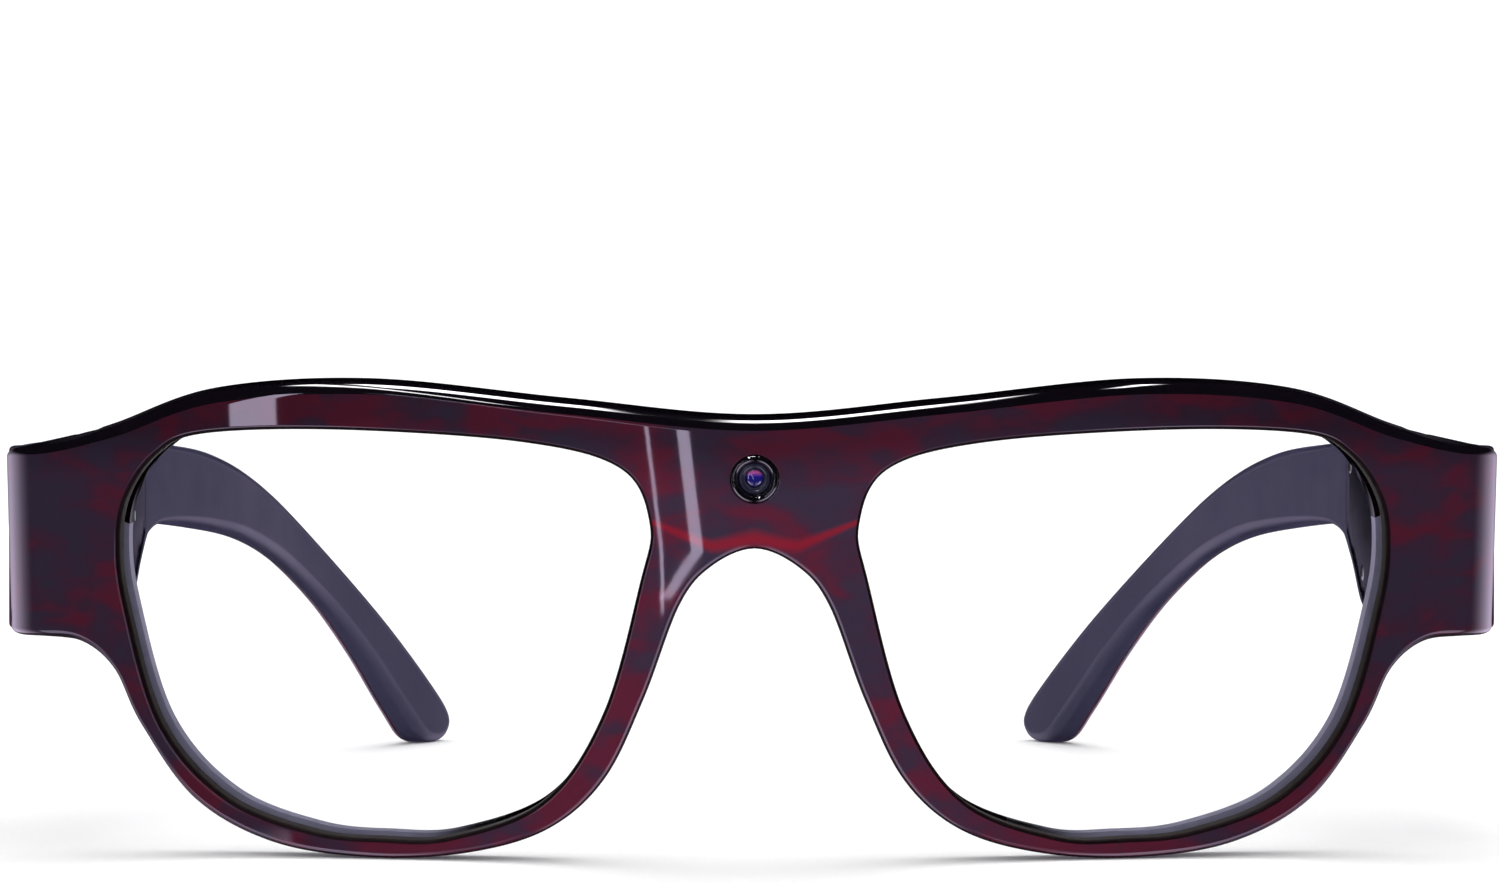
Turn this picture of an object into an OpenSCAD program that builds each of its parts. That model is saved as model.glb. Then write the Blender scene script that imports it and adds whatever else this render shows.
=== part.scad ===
// Camera glasses with two folding electronics temples.
// Units are millimetres. +X runs across the face, +Y from the lenses back along the temples, +Z up.
// The origin is the middle of the bounding box in X and Y, with the glasses resting on z = 0.
// "Right" and "left" are those of the wearer: the right temple lies at -X, the left one at +X.

/* [Front] */
// Lean of the front, top towards the viewer
front_tilt = 8; // [4:0.5:12]
// Radius of the wrap of the front, seen from above
wrap_radius = 225; // [180:5:320]
// Thickness of the rims from front face to back face
rim_depth = 5; // [4:0.1:6]
// Half the width of the front at the temple seam
front_half_width = 74.4; // [70:0.1:76]
// Radius of the rounded outer corners, seen from above
corner_radius = 7; // [5:0.5:9]
// Depth of the moulded nose pads behind the rims
pad_depth = 3.4; // [2:0.1:5]

/* [Lenses] */
// Distance of each lens centre from the middle
lens_centre = 36.2; // [34:0.1:39]
// Depth of the groove that holds a lens
groove_depth = 0.8; // [0.5:0.1:1.2]
// Thickness of a lens
lens_thickness = 1.8; // [1.4:0.1:2.4]
// Distance from the front face to the front of a lens
lens_inset = 1.6; // [1:0.1:2.4]

/* [Camera] */
// Height of the camera in the plane of the front
camera_height = 37.9; // [36:0.1:40]
// Outer diameter of the camera bezel
bezel_diameter = 4.6; // [4:0.1:6]
// Diameter of the camera barrel
barrel_diameter = 3.0; // [2.4:0.1:3.6]
// Diameter of the glass of the camera
glass_diameter = 1.7; // [1.2:0.1:2.2]

/* [Temples] */
// Depth at which the front ends and the temples begin
seam_y = 17.4; // [16:0.1:19]
// Gap between the front and a temple
seam_gap = 0.3; // [0.2:0.05:0.6]
// Distance of the flat inner face of a temple from the middle
temple_inner = 66.8; // [65:0.1:68]
// Thickness of the inner cover
cover_thickness = 1.2; // [1:0.1:1.6]
// Thickness of the outer wall of a temple
wall = 1.3; // [1:0.1:2]
// Height of the underside of the electronics part
temple_bottom = 22; // [21:0.1:24]

/* [Hinges] */
// Distance of a hinge pin from the middle
hinge_x = 65.6; // [64.5:0.1:66.2]
// Radius of a hinge knuckle
knuckle_radius = 1.4; // [1.2:0.05:1.6]
// Height of one knuckle
knuckle_height = 2; // [1.6:0.1:2.4]
// Height of the lowest knuckle
hinge_bottom = 26; // [25:0.1:28]
// Radius of a hinge pin
pin_radius = 0.6; // [0.5:0.05:0.8]

/* [Buttons] */
// Travel of a push button
button_travel = 0.4; // [0.2:0.05:0.6]
// Length of a push button
button_length = 3.2; // [2.6:0.1:4]
// Width of a push button
button_width = 2; // [1.6:0.1:2.6]

/* [Hidden] */
round_faces = 48;
centre_y = 74.5;
front_y = 4.5 - centre_y;
front_z = -0.43;
outline_steps = 5;
lens_middle = [0, 22];
lens_turn = asin(lens_centre / wrap_radius);
cover_inset = rim_depth - 1;
hinge_y = seam_y + seam_gap / 2;
knuckles = 5;
hinge_top = hinge_bottom + knuckles * knuckle_height;
leaf_x = [66.2, 67.2];
bay_x = temple_inner + cover_thickness;
board_x = 69.2;
board_thickness = 0.8;
part_x = board_x + board_thickness;
floor_z = temple_bottom + 1.4;
button_x = 71.2;
record_y = 39.4;
power_y = 44.4;
usb_y = [29, 36.6];
usb_x = [part_x, part_x + 2.7];
corner_x = front_half_width - corner_radius * (1 - corner_sine());

// Outlines, hand drawn as [across, up] points and joined by smooth curves.
brow_points = [[0, 43.6], [18, 45.1], [37, 46.7], [52.5, 45.4], [63, 41.5], [69.5, 39.4], [75, 38.8],
               [80, 38.7]];
lower_points = [[80, 19.8], [75, 19.9], [70.5, 20.5], [66.4, 20.3], [63, 17.7], [60.3, 12.2], [54.9, 5],
                [47, 1.05], [37.2, 0], [27.6, 0.85], [19.9, 3.4], [14.45, 8.4], [10.6, 16.4], [7.2, 25.5],
                [4.2, 29.3], [0, 31.1]];
lens_points = [
    [-26.2, 33.45], [-23.45, 38.8], [-14, 41.25], [3.55, 42.1], [17.5, 41.35], [22.45, 39.1],
    [25.6, 34.85], [26.5, 30.2], [25.85, 23.95], [22.45, 12.45], [15.85, 5.45], [7.1, 2.45],
    [0, 2], [-6.9, 2.45], [-15.95, 6.25], [-21.75, 15], [-25.3, 27.9]
];
cover_points = [[0, 42.7], [18, 44.2], [37, 45.8], [50, 44.9], [59, 42.4], [59, 41.1], [50, 43], [38, 43.5],
                [26, 42.9], [15.6, 41.8], [11.4, 40.4], [8.8, 37.4], [8.6, 33.8], [0, 33.8]];
// Temple seen from the side, as [back, up] points.
temple_top_points = [[17.7, 40.3], [45, 40.8], [68, 40.4], [86, 39.1], [102, 35.5], [118, 28.6], [135, 17.3],
                     [146.5, 7.4], [150, 3.4], [149.4, 0.9], [147, 0], [143.6, 0.8], [139.5, 4.6], [131, 12.6],
                     [121, 20], [110, 25.4], [98, 28.8], [86, 30.4], [72, 31.4], [62.5, 31], [55.5, 27.6],
                     [49.8, 23.2], [45.4, temple_bottom]];
// Faces of a temple seen from above, as [across, back] points.
inner_points = [[66.8, 17.7], [66.8, 60], [65.2, 70], [62.2, 86], [58.7, 102], [54, 118], [46.4, 135],
                [40.5, 146.5], [38.1, 151.5]];
outer_points = [[74.5, 17.7], [75, 21.6], [75.6, 30], [75.6, 46], [74.2, 62], [70.6, 76], [66, 90],
                [61.9, 102], [56.9, 118], [50.3, 135], [45, 146.5], [42.6, 151.5]];
// Electronics bay and inner cover seen from the side, as [back, up] points.
bay_points = [[26.2, 39.3], [57, 39.3], [57, 31.6], [47, floor_z], [26.2, floor_z]];
cover_outline = [[25, 39.4], [25.6, 40], [57.6, 40], [58.2, 39.4], [58.2, 31.2], [57.8, 30.6], [47.6, 22.9],
                 [47, 22.7], [25.6, 22.7], [25, 23.3]];
boss_points = [[27.4, 38], [27.4, 24.8], [55.6, 38], [48.4, 26.4]];
leaf_screw_z = [28.4, 33.6];

// ---------- helpers ----------

function corner_sine() =
    let (reach = front_half_width - corner_radius) reach / (wrap_radius - corner_radius);
function curve_point(a, b, c, d, t) =
    0.5 * (2 * b + (c - a) * t + (2 * a - 5 * b + 4 * c - d) * t * t + (3 * b - a - 3 * c + d) * t * t * t);
function open_curve(p, n) =
    let (last = len(p) - 1)
    [for (i = [0 : last - 1], j = [0 : n - 1])
        curve_point(i > 0 ? p[i - 1] : 2 * p[0] - p[1], p[i], p[i + 1],
                    i < last - 1 ? p[i + 2] : 2 * p[last] - p[last - 1], j / n),
     p[last]];
function closed_curve(p, n) =
    let (m = len(p))
    [for (i = [0 : m - 1], j = [0 : n - 1])
        curve_point(p[(i + m - 1) % m], p[i], p[(i + 1) % m], p[(i + 2) % m], j / n)];
// The points of a half outline that starts and ends on the centre line, then their mirror images.
function both_halves(p) =
    concat(p, [for (i = [len(p) - 2 : -1 : 1]) [-p[i][0], p[i][1]]]);
function grown(p, amount) =
    [for (q = p) let (r = q - lens_middle) q + r * amount / norm(r)];
// Depth of a surface that lies a set distance behind the front face, at x across.
function depth_at(x, behind) = wrap_radius - sqrt(pow(wrap_radius - behind, 2) - x * x);
function arc_points(half, behind, n) =
    [for (i = [0 : n]) let (x = half * (2 * i / n - 1)) [x, depth_at(x, behind)]];
function reversed(p) = [for (i = [len(p) - 1 : -1 : 0]) p[i]];

module on_side(side) {
    mirror([side < 0 ? 1 : 0, 0, 0]) children();
}

// Moves a shape drawn in the plane of the front to where the front stands.
module place_front() {
    translate([0, front_y, front_z]) rotate([front_tilt, 0, 0]) children();
}

// Moves a shape drawn with depths measured from the face of the front.
module place_temple(side) {
    translate([0, -centre_y, 0]) on_side(side) children();
}

// A prism with an outline seen from the front.
module elevation_prism(points, y0, y1) {
    translate([0, y1, 0]) rotate([90, 0, 0]) linear_extrude(height = y1 - y0) polygon(points);
}

// A prism with an outline seen from above.
module plan_prism(points, z0, z1) {
    translate([0, 0, z0]) linear_extrude(height = z1 - z0) polygon(points);
}

// A prism with an outline seen from the side.
module side_prism(points, x0, x1) {
    translate([x0, 0, 0]) rotate([90, 0, 90]) linear_extrude(height = x1 - x0) polygon(points);
}

module box(x, y, z) {
    translate([x[0], y[0], z[0]]) cube([x[1] - x[0], y[1] - y[0], z[1] - z[0]]);
}

module rod_x(y, z, x0, x1, radius) {
    translate([x0, y, z]) rotate([0, 90, 0]) cylinder(r = radius, h = x1 - x0, $fn = round_faces);
}

module rod_z(x, y, z0, z1, radius) {
    translate([x, y, z0]) cylinder(r = radius, h = z1 - z0, $fn = round_faces);
}

// A round bar along the camera axis.
module camera_rod(y0, y1, radius) {
    translate([0, y0, camera_height]) rotate([-90, 0, 0]) cylinder(r = radius, h = y1 - y0, $fn = round_faces);
}

// The curved slab between two depths behind the front face.
module wrap_slab(half, behind0, behind1, z0, z1) {
    plan_prism(concat(arc_points(half, behind0, 36), reversed(arc_points(half, behind1, 36))), z0, z1);
}

module slotted_screw(radius, head_radius, head_height, length) {
    difference() {
        union() {
            cylinder(r = head_radius, h = head_height, $fn = round_faces);
            cylinder(r = radius, h = length, $fn = round_faces);
        }
        translate([-head_radius, -0.12, -0.01]) cube([2 * head_radius, 0.24, 0.22]);
    }
}

// ---------- front ----------

module front_outline_prism(y0, y1) {
    elevation_prism(closed_curve(both_halves(concat(brow_points, lower_points)), outline_steps), y0, y1);
}

function corner_arc() =
    let (start = asin(corner_sine()),
         middle = [front_half_width - corner_radius, depth_at(corner_x, 0) + corner_radius * cos(start)])
    [for (i = [1 : 8]) let (a = start + (90 - start) * i / 8)
        middle + corner_radius * [sin(a), -cos(a)]];

module front_plan_prism() {
    face = arc_points(corner_x, 0, 40);
    corner = corner_arc();
    back = arc_points(temple_inner, rim_depth, 36);
    right_end = concat(corner, [[front_half_width, 34], [temple_inner, 34]]);
    left_end = [[-temple_inner, 34], [-front_half_width, 34]];
    left_corner = [for (p = reversed(corner)) [-p[0], p[1]]];
    plan_prism(concat(face, right_end, reversed(back), left_end, left_corner), -2, 50);
}

module lens_prism(side, growth, y0, y1) {
    on_side(side)
        translate([lens_centre, depth_at(lens_centre, 0), 0])
            rotate([0, 0, lens_turn])
                elevation_prism(grown(closed_curve(lens_points, outline_steps), growth), y0, y1);
}

module nose_pads() {
    intersection() {
        front_outline_prism(3, 12);
        translate([-17, rim_depth + pad_depth - 14, 19]) rotate([0, 90, 0])
            cylinder(r = 14, h = 34, $fn = 2 * round_faces);
        translate([-17, rim_depth - 2, 8]) cube([34, 10, 20]);
    }
}

module brow_cover_prism(y0, y1) {
    half = concat(open_curve([for (i = [0 : 4]) cover_points[i]], 4),
                  open_curve([for (i = [5 : 13]) cover_points[i]], 3));
    elevation_prism(both_halves(half), y0, y1);
}

// A narrow band that follows the middle of the brow from one end to the other.
module brow_band(half_height, reach) {
    spine = open_curve([[6, 41.2], [18, 42.9], [37, 44.6], [50, 43.9], [reach, 57.8 - 0.28 * reach]], 4);
    upper = [for (p = spine) p + [0, half_height]];
    lower = [for (p = reversed(spine)) p - [0, half_height]];
    elevation_prism(concat(upper, lower), 0, 30);
}

module front_cutouts() {
    for (side = [-1, 1]) {
        lens_prism(side, 0, -12, 24);
        intersection() {
            lens_prism(side, groove_depth, -12, 24);
            wrap_slab(70, lens_inset - 0.05, lens_inset + lens_thickness + 0.05, -2, 50);
        }
        intersection() {
            on_side(side) brow_band(0.8, 58);
            wrap_slab(70, 2.9, cover_inset + 0.01, -2, 50);
        }
    }
    intersection() {
        brow_cover_prism(-2, 30);
        wrap_slab(70, cover_inset, rim_depth + 2, -2, 50);
    }
    translate([-7.6, 2.6, 34.6]) cube([15.2, 4, 6.8]);
    camera_rod(-2, 1.2, bezel_diameter / 2 + 0.02);
    camera_rod(-2, 4, barrel_diameter / 2 + 0.02);
}

module hinge_clearance() {
    rod_z(hinge_x, hinge_y, hinge_bottom - 0.2, hinge_top + 0.9, knuckle_radius + 0.25);
}

module leaf_slot(y0, y1) {
    box([leaf_x[0] - 0.5, leaf_x[1] + 0.03], [y0, y1], [hinge_bottom - 0.03, hinge_top + 0.03]);
}

// What is cut off the top of an end piece so that it slopes down outwards.
module end_slope() {
    translate([65, 12, 41.98]) rotate([0, 13.2, 0]) cube([20, 10, 8]);
}

module front_frame() {
    color([0.22, 0.09, 0.15])
    difference() {
        place_front() difference() {
            union() {
                intersection() {
                    front_outline_prism(-3, 34);
                    front_plan_prism();
                }
                nose_pads();
            }
            front_cutouts();
        }
        translate([-90, seam_y - centre_y, -5]) cube([180, 60, 60]);
        for (side = [-1, 1]) place_temple(side) {
            end_slope();
            hinge_clearance();
            leaf_slot(12.6, seam_y + 1);
            for (z = leaf_screw_z) rod_x(15.2, z, 66, 69.5, 0.45);
        }
    }
}

module brow_cover() {
    color([0.09, 0.06, 0.09])
    place_front() difference() {
        union() {
            intersection() {
                brow_cover_prism(-2, 30);
                wrap_slab(70, cover_inset, rim_depth + 0.4, -2, 50);
            }
            translate([-8.4, cover_inset + 0.6, 34]) cube([16.8, 2.8, 8]);
        }
        translate([-7.6, 2, 34.6]) cube([15.2, 4.6, 6.8]);
    }
}

module lens(side) {
    color([0.85, 0.9, 0.93, 0.35])
    place_front() intersection() {
        lens_prism(side, groove_depth - 0.06, -12, 24);
        wrap_slab(70, lens_inset, lens_inset + lens_thickness, -2, 50);
    }
}

// ---------- camera ----------

module camera_bezel() {
    color([0.03, 0.03, 0.04])
    place_front() difference() {
        camera_rod(-0.25, 1.2, bezel_diameter / 2);
        camera_rod(-1, 2, barrel_diameter / 2 + 0.02);
        translate([0, -0.26, camera_height]) rotate([-90, 0, 0])
            cylinder(r1 = 2, r2 = 1.5, h = 0.5, $fn = round_faces);
    }
}

module camera_barrel() {
    color([0.05, 0.05, 0.06])
    place_front() difference() {
        camera_rod(0.35, 3.4, barrel_diameter / 2);
        camera_rod(0, 1.2, glass_diameter / 2);
        camera_rod(1, 4, 0.5);
    }
}

module camera_lens() {
    color([0.25, 0.16, 0.55])
    place_front() intersection() {
        camera_rod(0.4, 1.2, glass_diameter / 2);
        translate([0, 1.9, camera_height]) sphere(r = 1.5, $fn = round_faces);
    }
}

module camera_sensor() {
    color([0.08, 0.08, 0.09])
    place_front() difference() {
        translate([-3.2, 2.8, camera_height - 3.1]) cube([6.4, 2, 6.2]);
        camera_rod(2, 3.4, barrel_diameter / 2 + 0.02);
        camera_rod(3, 4.2, 0.9);
    }
}

module camera_board() {
    color([0.1, 0.32, 0.2])
    place_front() {
        translate([-7.2, 4.8, 34.8]) cube([14.4, 0.8, 6.4]);
        for (side = [-1, 1]) translate([side * 5.6 - 1.2, 3.7, 38.9]) cube([2.4, 1.1, 2.2]);
    }
}

module brow_flex() {
    color([0.85, 0.5, 0.15])
    place_front() for (side = [-1, 1]) intersection() {
        on_side(side) brow_band(0.6, 57);
        wrap_slab(70, 3.3, 3.55, -2, 50);
    }
}

// ---------- hinges ----------

module knuckle(index, radius, gap) {
    rod_z(hinge_x, hinge_y, hinge_bottom + index * knuckle_height + gap,
          hinge_bottom + (index + 1) * knuckle_height - gap, radius);
}

// One leaf with its own knuckles, cut clear of the knuckles of the other leaf.
module hinge_leaf(y0, y1, own, other, screw_y) {
    color([0.55, 0.55, 0.57])
    difference() {
        union() {
            box(leaf_x, [y0, y1], [hinge_bottom, hinge_top]);
            for (i = own) knuckle(i, knuckle_radius, 0.03);
        }
        for (i = other) knuckle(i, knuckle_radius + 0.1, -0.03);
        rod_z(hinge_x, hinge_y, hinge_bottom - 1, hinge_top + 1, pin_radius + 0.04);
        for (z = leaf_screw_z) {
            rod_x(screw_y, z, 66, 68, 0.5);
            rod_x(screw_y, z, 66, 66.6, 0.95);
        }
    }
}

module hinge_front(side) {
    place_temple(side) hinge_leaf(12.7, hinge_y - 0.3, [0, 2, 4], [1, 3], 15.2);
}

module hinge_temple(side) {
    place_temple(side) hinge_leaf(hinge_y + 0.3, 24.2, [1, 3], [0, 2, 4], 21.4);
}

module leaf_screws(y) {
    for (z = leaf_screw_z) translate([66.22, y, z]) rotate([0, 90, 0]) slotted_screw(0.44, 0.88, 0.36, 3);
}

module hinge_pins() {
    color([0.7, 0.7, 0.72])
    for (side = [-1, 1]) place_temple(side)
        translate([hinge_x, hinge_y, hinge_top + 0.65]) rotate([180, 0, 0])
            slotted_screw(pin_radius, 1.1, 0.6, hinge_top - hinge_bottom + 0.65);
}

module hinge_front_screws() {
    color([0.6, 0.6, 0.62])
    for (side = [-1, 1]) place_temple(side) leaf_screws(15.2);
}

// ---------- temples ----------

module temple_solid() {
    outline = concat(open_curve(temple_top_points, outline_steps), [[17.7, temple_bottom]]);
    inner = concat([inner_points[0]], open_curve([for (i = [1 : 8]) inner_points[i]], outline_steps));
    intersection() {
        side_prism(outline, 30, 80);
        plan_prism(concat(inner, reversed(open_curve(outer_points, outline_steps))), -5, 45);
    }
}

module temple_bay() {
    intersection() {
        side_prism(bay_points, temple_inner - 1, 80);
        plan_prism([[temple_inner - 1, 20], [74.3, 20], [74.5, 30], [74.4, 46], [73.2, 60],
                    [temple_inner - 1, 60]], 15, 45);
    }
}

module temple_shell(side) {
    color([0.2, 0.18, 0.25])
    place_temple(side) difference() {
        temple_solid();
        difference() {
            temple_bay();
            for (p = boss_points) rod_x(p[0], p[1], bay_x, 80, 1.15);
        }
        side_prism(cover_outline, temple_inner - 1, bay_x);
        for (p = boss_points) rod_x(p[0], p[1], bay_x - 1, bay_x + 3.2, 0.45);
        hinge_clearance();
        leaf_slot(17, 24.25);
        for (z = leaf_screw_z) rod_x(21.4, z, 66, 69.5, 0.45);
        box([70.95, 71.35], [17, 27], [32.6, 35.4]);
        if (side < 0) {
            button_bore(record_y);
            button_bore(power_y);
            box([usb_x[0] - 0.06, usb_x[1] + 0.06], [usb_y[0] - 0.06, usb_y[1] + 0.06],
                [temple_bottom - 1, floor_z + 0.1]);
        }
    }
}

module temple_cover(side) {
    color([0.16, 0.15, 0.2])
    place_temple(side) difference() {
        side_prism(cover_outline, temple_inner, bay_x);
        for (p = boss_points) {
            rod_x(p[0], p[1], temple_inner - 1, bay_x + 1, 0.5);
            rod_x(p[0], p[1], temple_inner - 1, temple_inner + 0.6, 0.95);
        }
        if (side < 0) {
            rod_x(50.6, 35.6, temple_inner - 1, bay_x + 1, 0.4);
            rod_x(50.6, 32.6, temple_inner - 1, bay_x + 1, 0.62);
        }
    }
}

module cover_screws(side) {
    color([0.6, 0.6, 0.62])
    place_temple(side) for (p = boss_points)
        translate([temple_inner + 0.08, p[0], p[1]]) rotate([0, 90, 0]) slotted_screw(0.44, 0.88, 0.5, 3.6);
}

module leaf_screw_pair(side) {
    color([0.6, 0.6, 0.62])
    place_temple(side) leaf_screws(21.4);
}

module temple_flex_right() {
    color([0.85, 0.5, 0.15])
    place_temple(-1) box([71.02, 71.27], [18, 31.4], [32.8, 35.2]);
}

module temple_flex_left() {
    color([0.85, 0.5, 0.15])
    place_temple(1) {
        box([71.02, 71.27], [18, 29.9], [32.8, 35.2]);
        box([71.02, 71.27], [29.1, 29.9], [25.2, 33]);
    }
}

// ---------- electronics of the right temple ----------

module pill(y, z0, z1, length, width) {
    reach = (length - width) / 2;
    box([button_x - width / 2, button_x + width / 2], [y - reach, y + reach], [z0, z1]);
    for (offset = [-reach, reach]) rod_z(button_x, y + offset, z0, z1, width / 2);
}

module button_bore(y) {
    pill(y, temple_bottom - 1, floor_z + 0.1, button_length + 0.16, button_width + 0.16);
}

module push_button(y) {
    color([0.07, 0.07, 0.08])
    place_temple(-1) {
        pill(y, temple_bottom - 0.5, floor_z + 0.1, button_length, button_width);
        pill(y, floor_z + 0.04, floor_z + 0.8, button_length + 0.6, button_width + 0.6);
    }
}

module main_board() {
    color([0.08, 0.3, 0.18])
    place_temple(-1) {
        side_prism([[28.9, 38.9], [53.8, 38.9], [53.8, 31.4], [50.4, 28.2], [46.6, 28.2], [46.6, 24.9],
                    [28.9, 24.9]], board_x, part_x);
        box([part_x, part_x + 1], [29.2, 31.4], [32.4, 35.6]);
    }
}

module processor_chip() {
    color([0.06, 0.06, 0.07])
    place_temple(-1) box([part_x, part_x + 0.9], [40.5, 48.5], [30, 38]);
}

module memory_chip() {
    color([0.07, 0.07, 0.08])
    place_temple(-1) box([board_x - 0.8, board_x], [36, 45], [30.5, 37]);
}

module usb_socket() {
    color([0.72, 0.72, 0.74])
    place_temple(-1) {
        difference() {
            box(usb_x, usb_y, [temple_bottom + 0.2, temple_bottom + 5.2]);
            box([usb_x[0] + 0.35, usb_x[1] - 0.35], [usb_y[0] + 0.35, usb_y[1] - 0.35],
                [temple_bottom, temple_bottom + 4.7]);
        }
        box([usb_x[0] + 1.05, usb_x[0] + 1.6], [usb_y[0] + 1.6, usb_y[1] - 1.6],
            [temple_bottom + 0.7, temple_bottom + 4.8]);
    }
}

module tact_switches() {
    color([0.75, 0.75, 0.72])
    place_temple(-1) for (y = [record_y, power_y])
        box([part_x, part_x + 2.3], [y - 1.7, y + 1.7], [floor_z + 0.8 + button_travel + 0.1, floor_z + 3]);
}

module microphone() {
    color([0.78, 0.76, 0.7])
    place_temple(-1) box([board_x - 0.9, board_x], [49.2, 52], [34.4, 36.8]);
}

module status_led() {
    color([0.55, 0.8, 0.6])
    place_temple(-1) {
        rod_x(50.6, 32.6, temple_inner + 0.05, board_x - 0.5, 0.58);
        box([board_x - 0.5, board_x], [49.8, 51.4], [31.8, 33.4]);
    }
}

// ---------- power in the left temple ----------

module battery() {
    color([0.62, 0.64, 0.66])
    place_temple(1) {
        box([bay_x + 0.3, 73.3], [31, 52.4], [28.4, 38.6]);
        box([69.4, 70.9], [30, 31], [30, 35]);
    }
}

module battery_board() {
    color([0.08, 0.3, 0.18])
    place_temple(1) {
        box([bay_x + 0.8, 72.8], [29, 45.4], [24.4, 25.2]);
        box([69.6, 71.6], [33, 36], [25.2, 26.2]);
    }
}

module battery_leads() {
    color([0.75, 0.1, 0.1])
    place_temple(1) for (x = [69.75, 70.5]) {
        rod_z(x, 29.5, 25.2, 33, 0.22);
        translate([x, 29.5, 32.4]) rotate([-90, 0, 0]) cylinder(r = 0.16, h = 0.5, $fn = round_faces);
    }
}

// ---------- drawing ----------

front_frame();
brow_cover();
lens(-1);  // lens_right
lens(1);  // lens_left
camera_bezel();
camera_barrel();
camera_lens();
camera_sensor();
camera_board();
brow_flex();
hinge_front(-1);  // hinge_front_right
hinge_front(1);  // hinge_front_left
hinge_pins();
hinge_front_screws();
temple_shell(-1);  // temple_shell_right
temple_cover(-1);  // temple_cover_right
cover_screws(-1);  // cover_screws_right
hinge_temple(-1);  // hinge_temple_right
leaf_screw_pair(-1);  // leaf_screws_right
main_board();
processor_chip();
memory_chip();
usb_socket();
tact_switches();
microphone();
status_led();
temple_flex_right();
push_button(record_y);  // record_button
push_button(power_y);  // power_button
temple_shell(1);  // temple_shell_left
temple_cover(1);  // temple_cover_left
cover_screws(1);  // cover_screws_left
hinge_temple(1);  // hinge_temple_left
leaf_screw_pair(1);  // leaf_screws_left
battery();
battery_board();
battery_leads();
temple_flex_left();
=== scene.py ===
import math

import bmesh
import bpy
import numpy as np
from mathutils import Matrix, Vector
from mathutils.geometry import delaunay_2d_cdt


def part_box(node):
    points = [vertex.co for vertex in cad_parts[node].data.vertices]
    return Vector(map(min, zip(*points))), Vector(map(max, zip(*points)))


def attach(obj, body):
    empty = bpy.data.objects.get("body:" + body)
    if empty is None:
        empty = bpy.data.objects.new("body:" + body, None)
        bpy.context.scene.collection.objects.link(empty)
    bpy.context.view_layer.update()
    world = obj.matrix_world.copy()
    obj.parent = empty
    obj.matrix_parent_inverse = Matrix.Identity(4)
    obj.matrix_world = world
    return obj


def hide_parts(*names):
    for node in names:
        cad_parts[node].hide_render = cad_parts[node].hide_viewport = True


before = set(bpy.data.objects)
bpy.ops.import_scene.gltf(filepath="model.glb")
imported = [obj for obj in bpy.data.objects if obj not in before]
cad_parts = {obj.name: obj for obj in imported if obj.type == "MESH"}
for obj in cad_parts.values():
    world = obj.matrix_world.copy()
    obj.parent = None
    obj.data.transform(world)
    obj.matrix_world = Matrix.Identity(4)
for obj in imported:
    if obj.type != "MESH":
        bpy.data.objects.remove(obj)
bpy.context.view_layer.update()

# Camera glasses. The design functions work in millimetres and in the part's own terms:
# x across the face, y (or d) back from the face, v up in the plane of the front, z up.
MM = 0.001
ON_SURFACE = 2e-3  # how near a surface a point has to be to take its normal

# The places of the materials on a piece with several.
FACE, EDGE, BACK, WALL, PAINTED_SHADE = range(5)

# ---- the front, as in the CAD source
TILT = math.radians(8)
TILT_COS, TILT_SIN = math.cos(TILT), math.sin(TILT)
WRAP = 225.0
RIM = 5.0
HALF = 74.4
CORNER_R = 7.0
PAD_DEPTH = 3.4
PAD_R = 14
PAD_V = 19
TEMPLE_IN = 66.8
LENS_X = 36.2
LENS_TURN = math.asin(LENS_X / WRAP)
LENS_MID = 22.0
GROOVE = 0.8
LENS_FRONT = 1.6
LENS_BACK = 3.4
CAMERA_V = 37.9
CAMERA_HOLE_R = 2.36
CAMERA_LIP_R = 2.46
CENTRE_Y = 74.5
FRONT_Y = 4.5 - CENTRE_Y
FRONT_Z = -0.43
SEAM_D = 17.4
TEMPLE_D = 17.7
TEMPLE_LOW = 22

# The sloping top of the end pieces, and about where it meets the seam on the face and on the back.
CAP_X = 65
CAP_Z = 41.98
CAP_SLOPE = math.radians(13.2)
CAP_REACH_X = 64
CAP_FACE_V = 38.2
CAP_BACK_V = 40

# Room for a hinge: a round for its knuckles and a slot for its leaves.
HINGE_X = 65.6
HINGE_D = SEAM_D + 0.15
HINGE_ROOM_R = 1.65
KNUCKLE_Z = (25.8, 36.9)
LEAF_X = (65.7, 67.23)
LEAF_Z = (25.97, 36.03)

BROW = [[0, 43.6], [18, 45.1], [37, 46.7], [52.5, 45.4], [63, 41.5], [69.5, 39.4], [75, 38.8],
        [80, 38.7]]
LOWER = [[80, 19.8], [75, 19.9], [70.5, 20.5], [66.4, 20.3], [63, 17.7], [60.3, 12.2], [54.9, 5], [47, 1.05],
         [37.2, 0], [27.6, 0.85], [19.9, 3.4], [14.45, 8.4], [10.6, 16.4], [7.2, 25.5], [4.2, 29.3],
         [0, 31.1]]
OPENING = [[-26.2, 33.45], [-23.45, 38.8], [-14, 41.25], [3.55, 42.1], [17.5, 41.35], [22.45, 39.1],
           [25.6, 34.85], [26.5, 30.2], [25.85, 23.95], [22.45, 12.45], [15.85, 5.45], [7.1, 2.45],
           [0, 2], [-6.9, 2.45], [-15.95, 6.25], [-21.75, 15], [-25.3, 27.9]]
COVER_UPPER = [[0, 42.7], [18, 44.2], [37, 45.8], [50, 44.9], [59, 42.4]]
COVER_LOWER = [[59, 41.1], [50, 43], [38, 43.5], [26, 42.9], [15.6, 41.8], [11.4, 40.4], [8.8, 37.4],
               [8.6, 33.8], [0, 33.8]]
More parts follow.
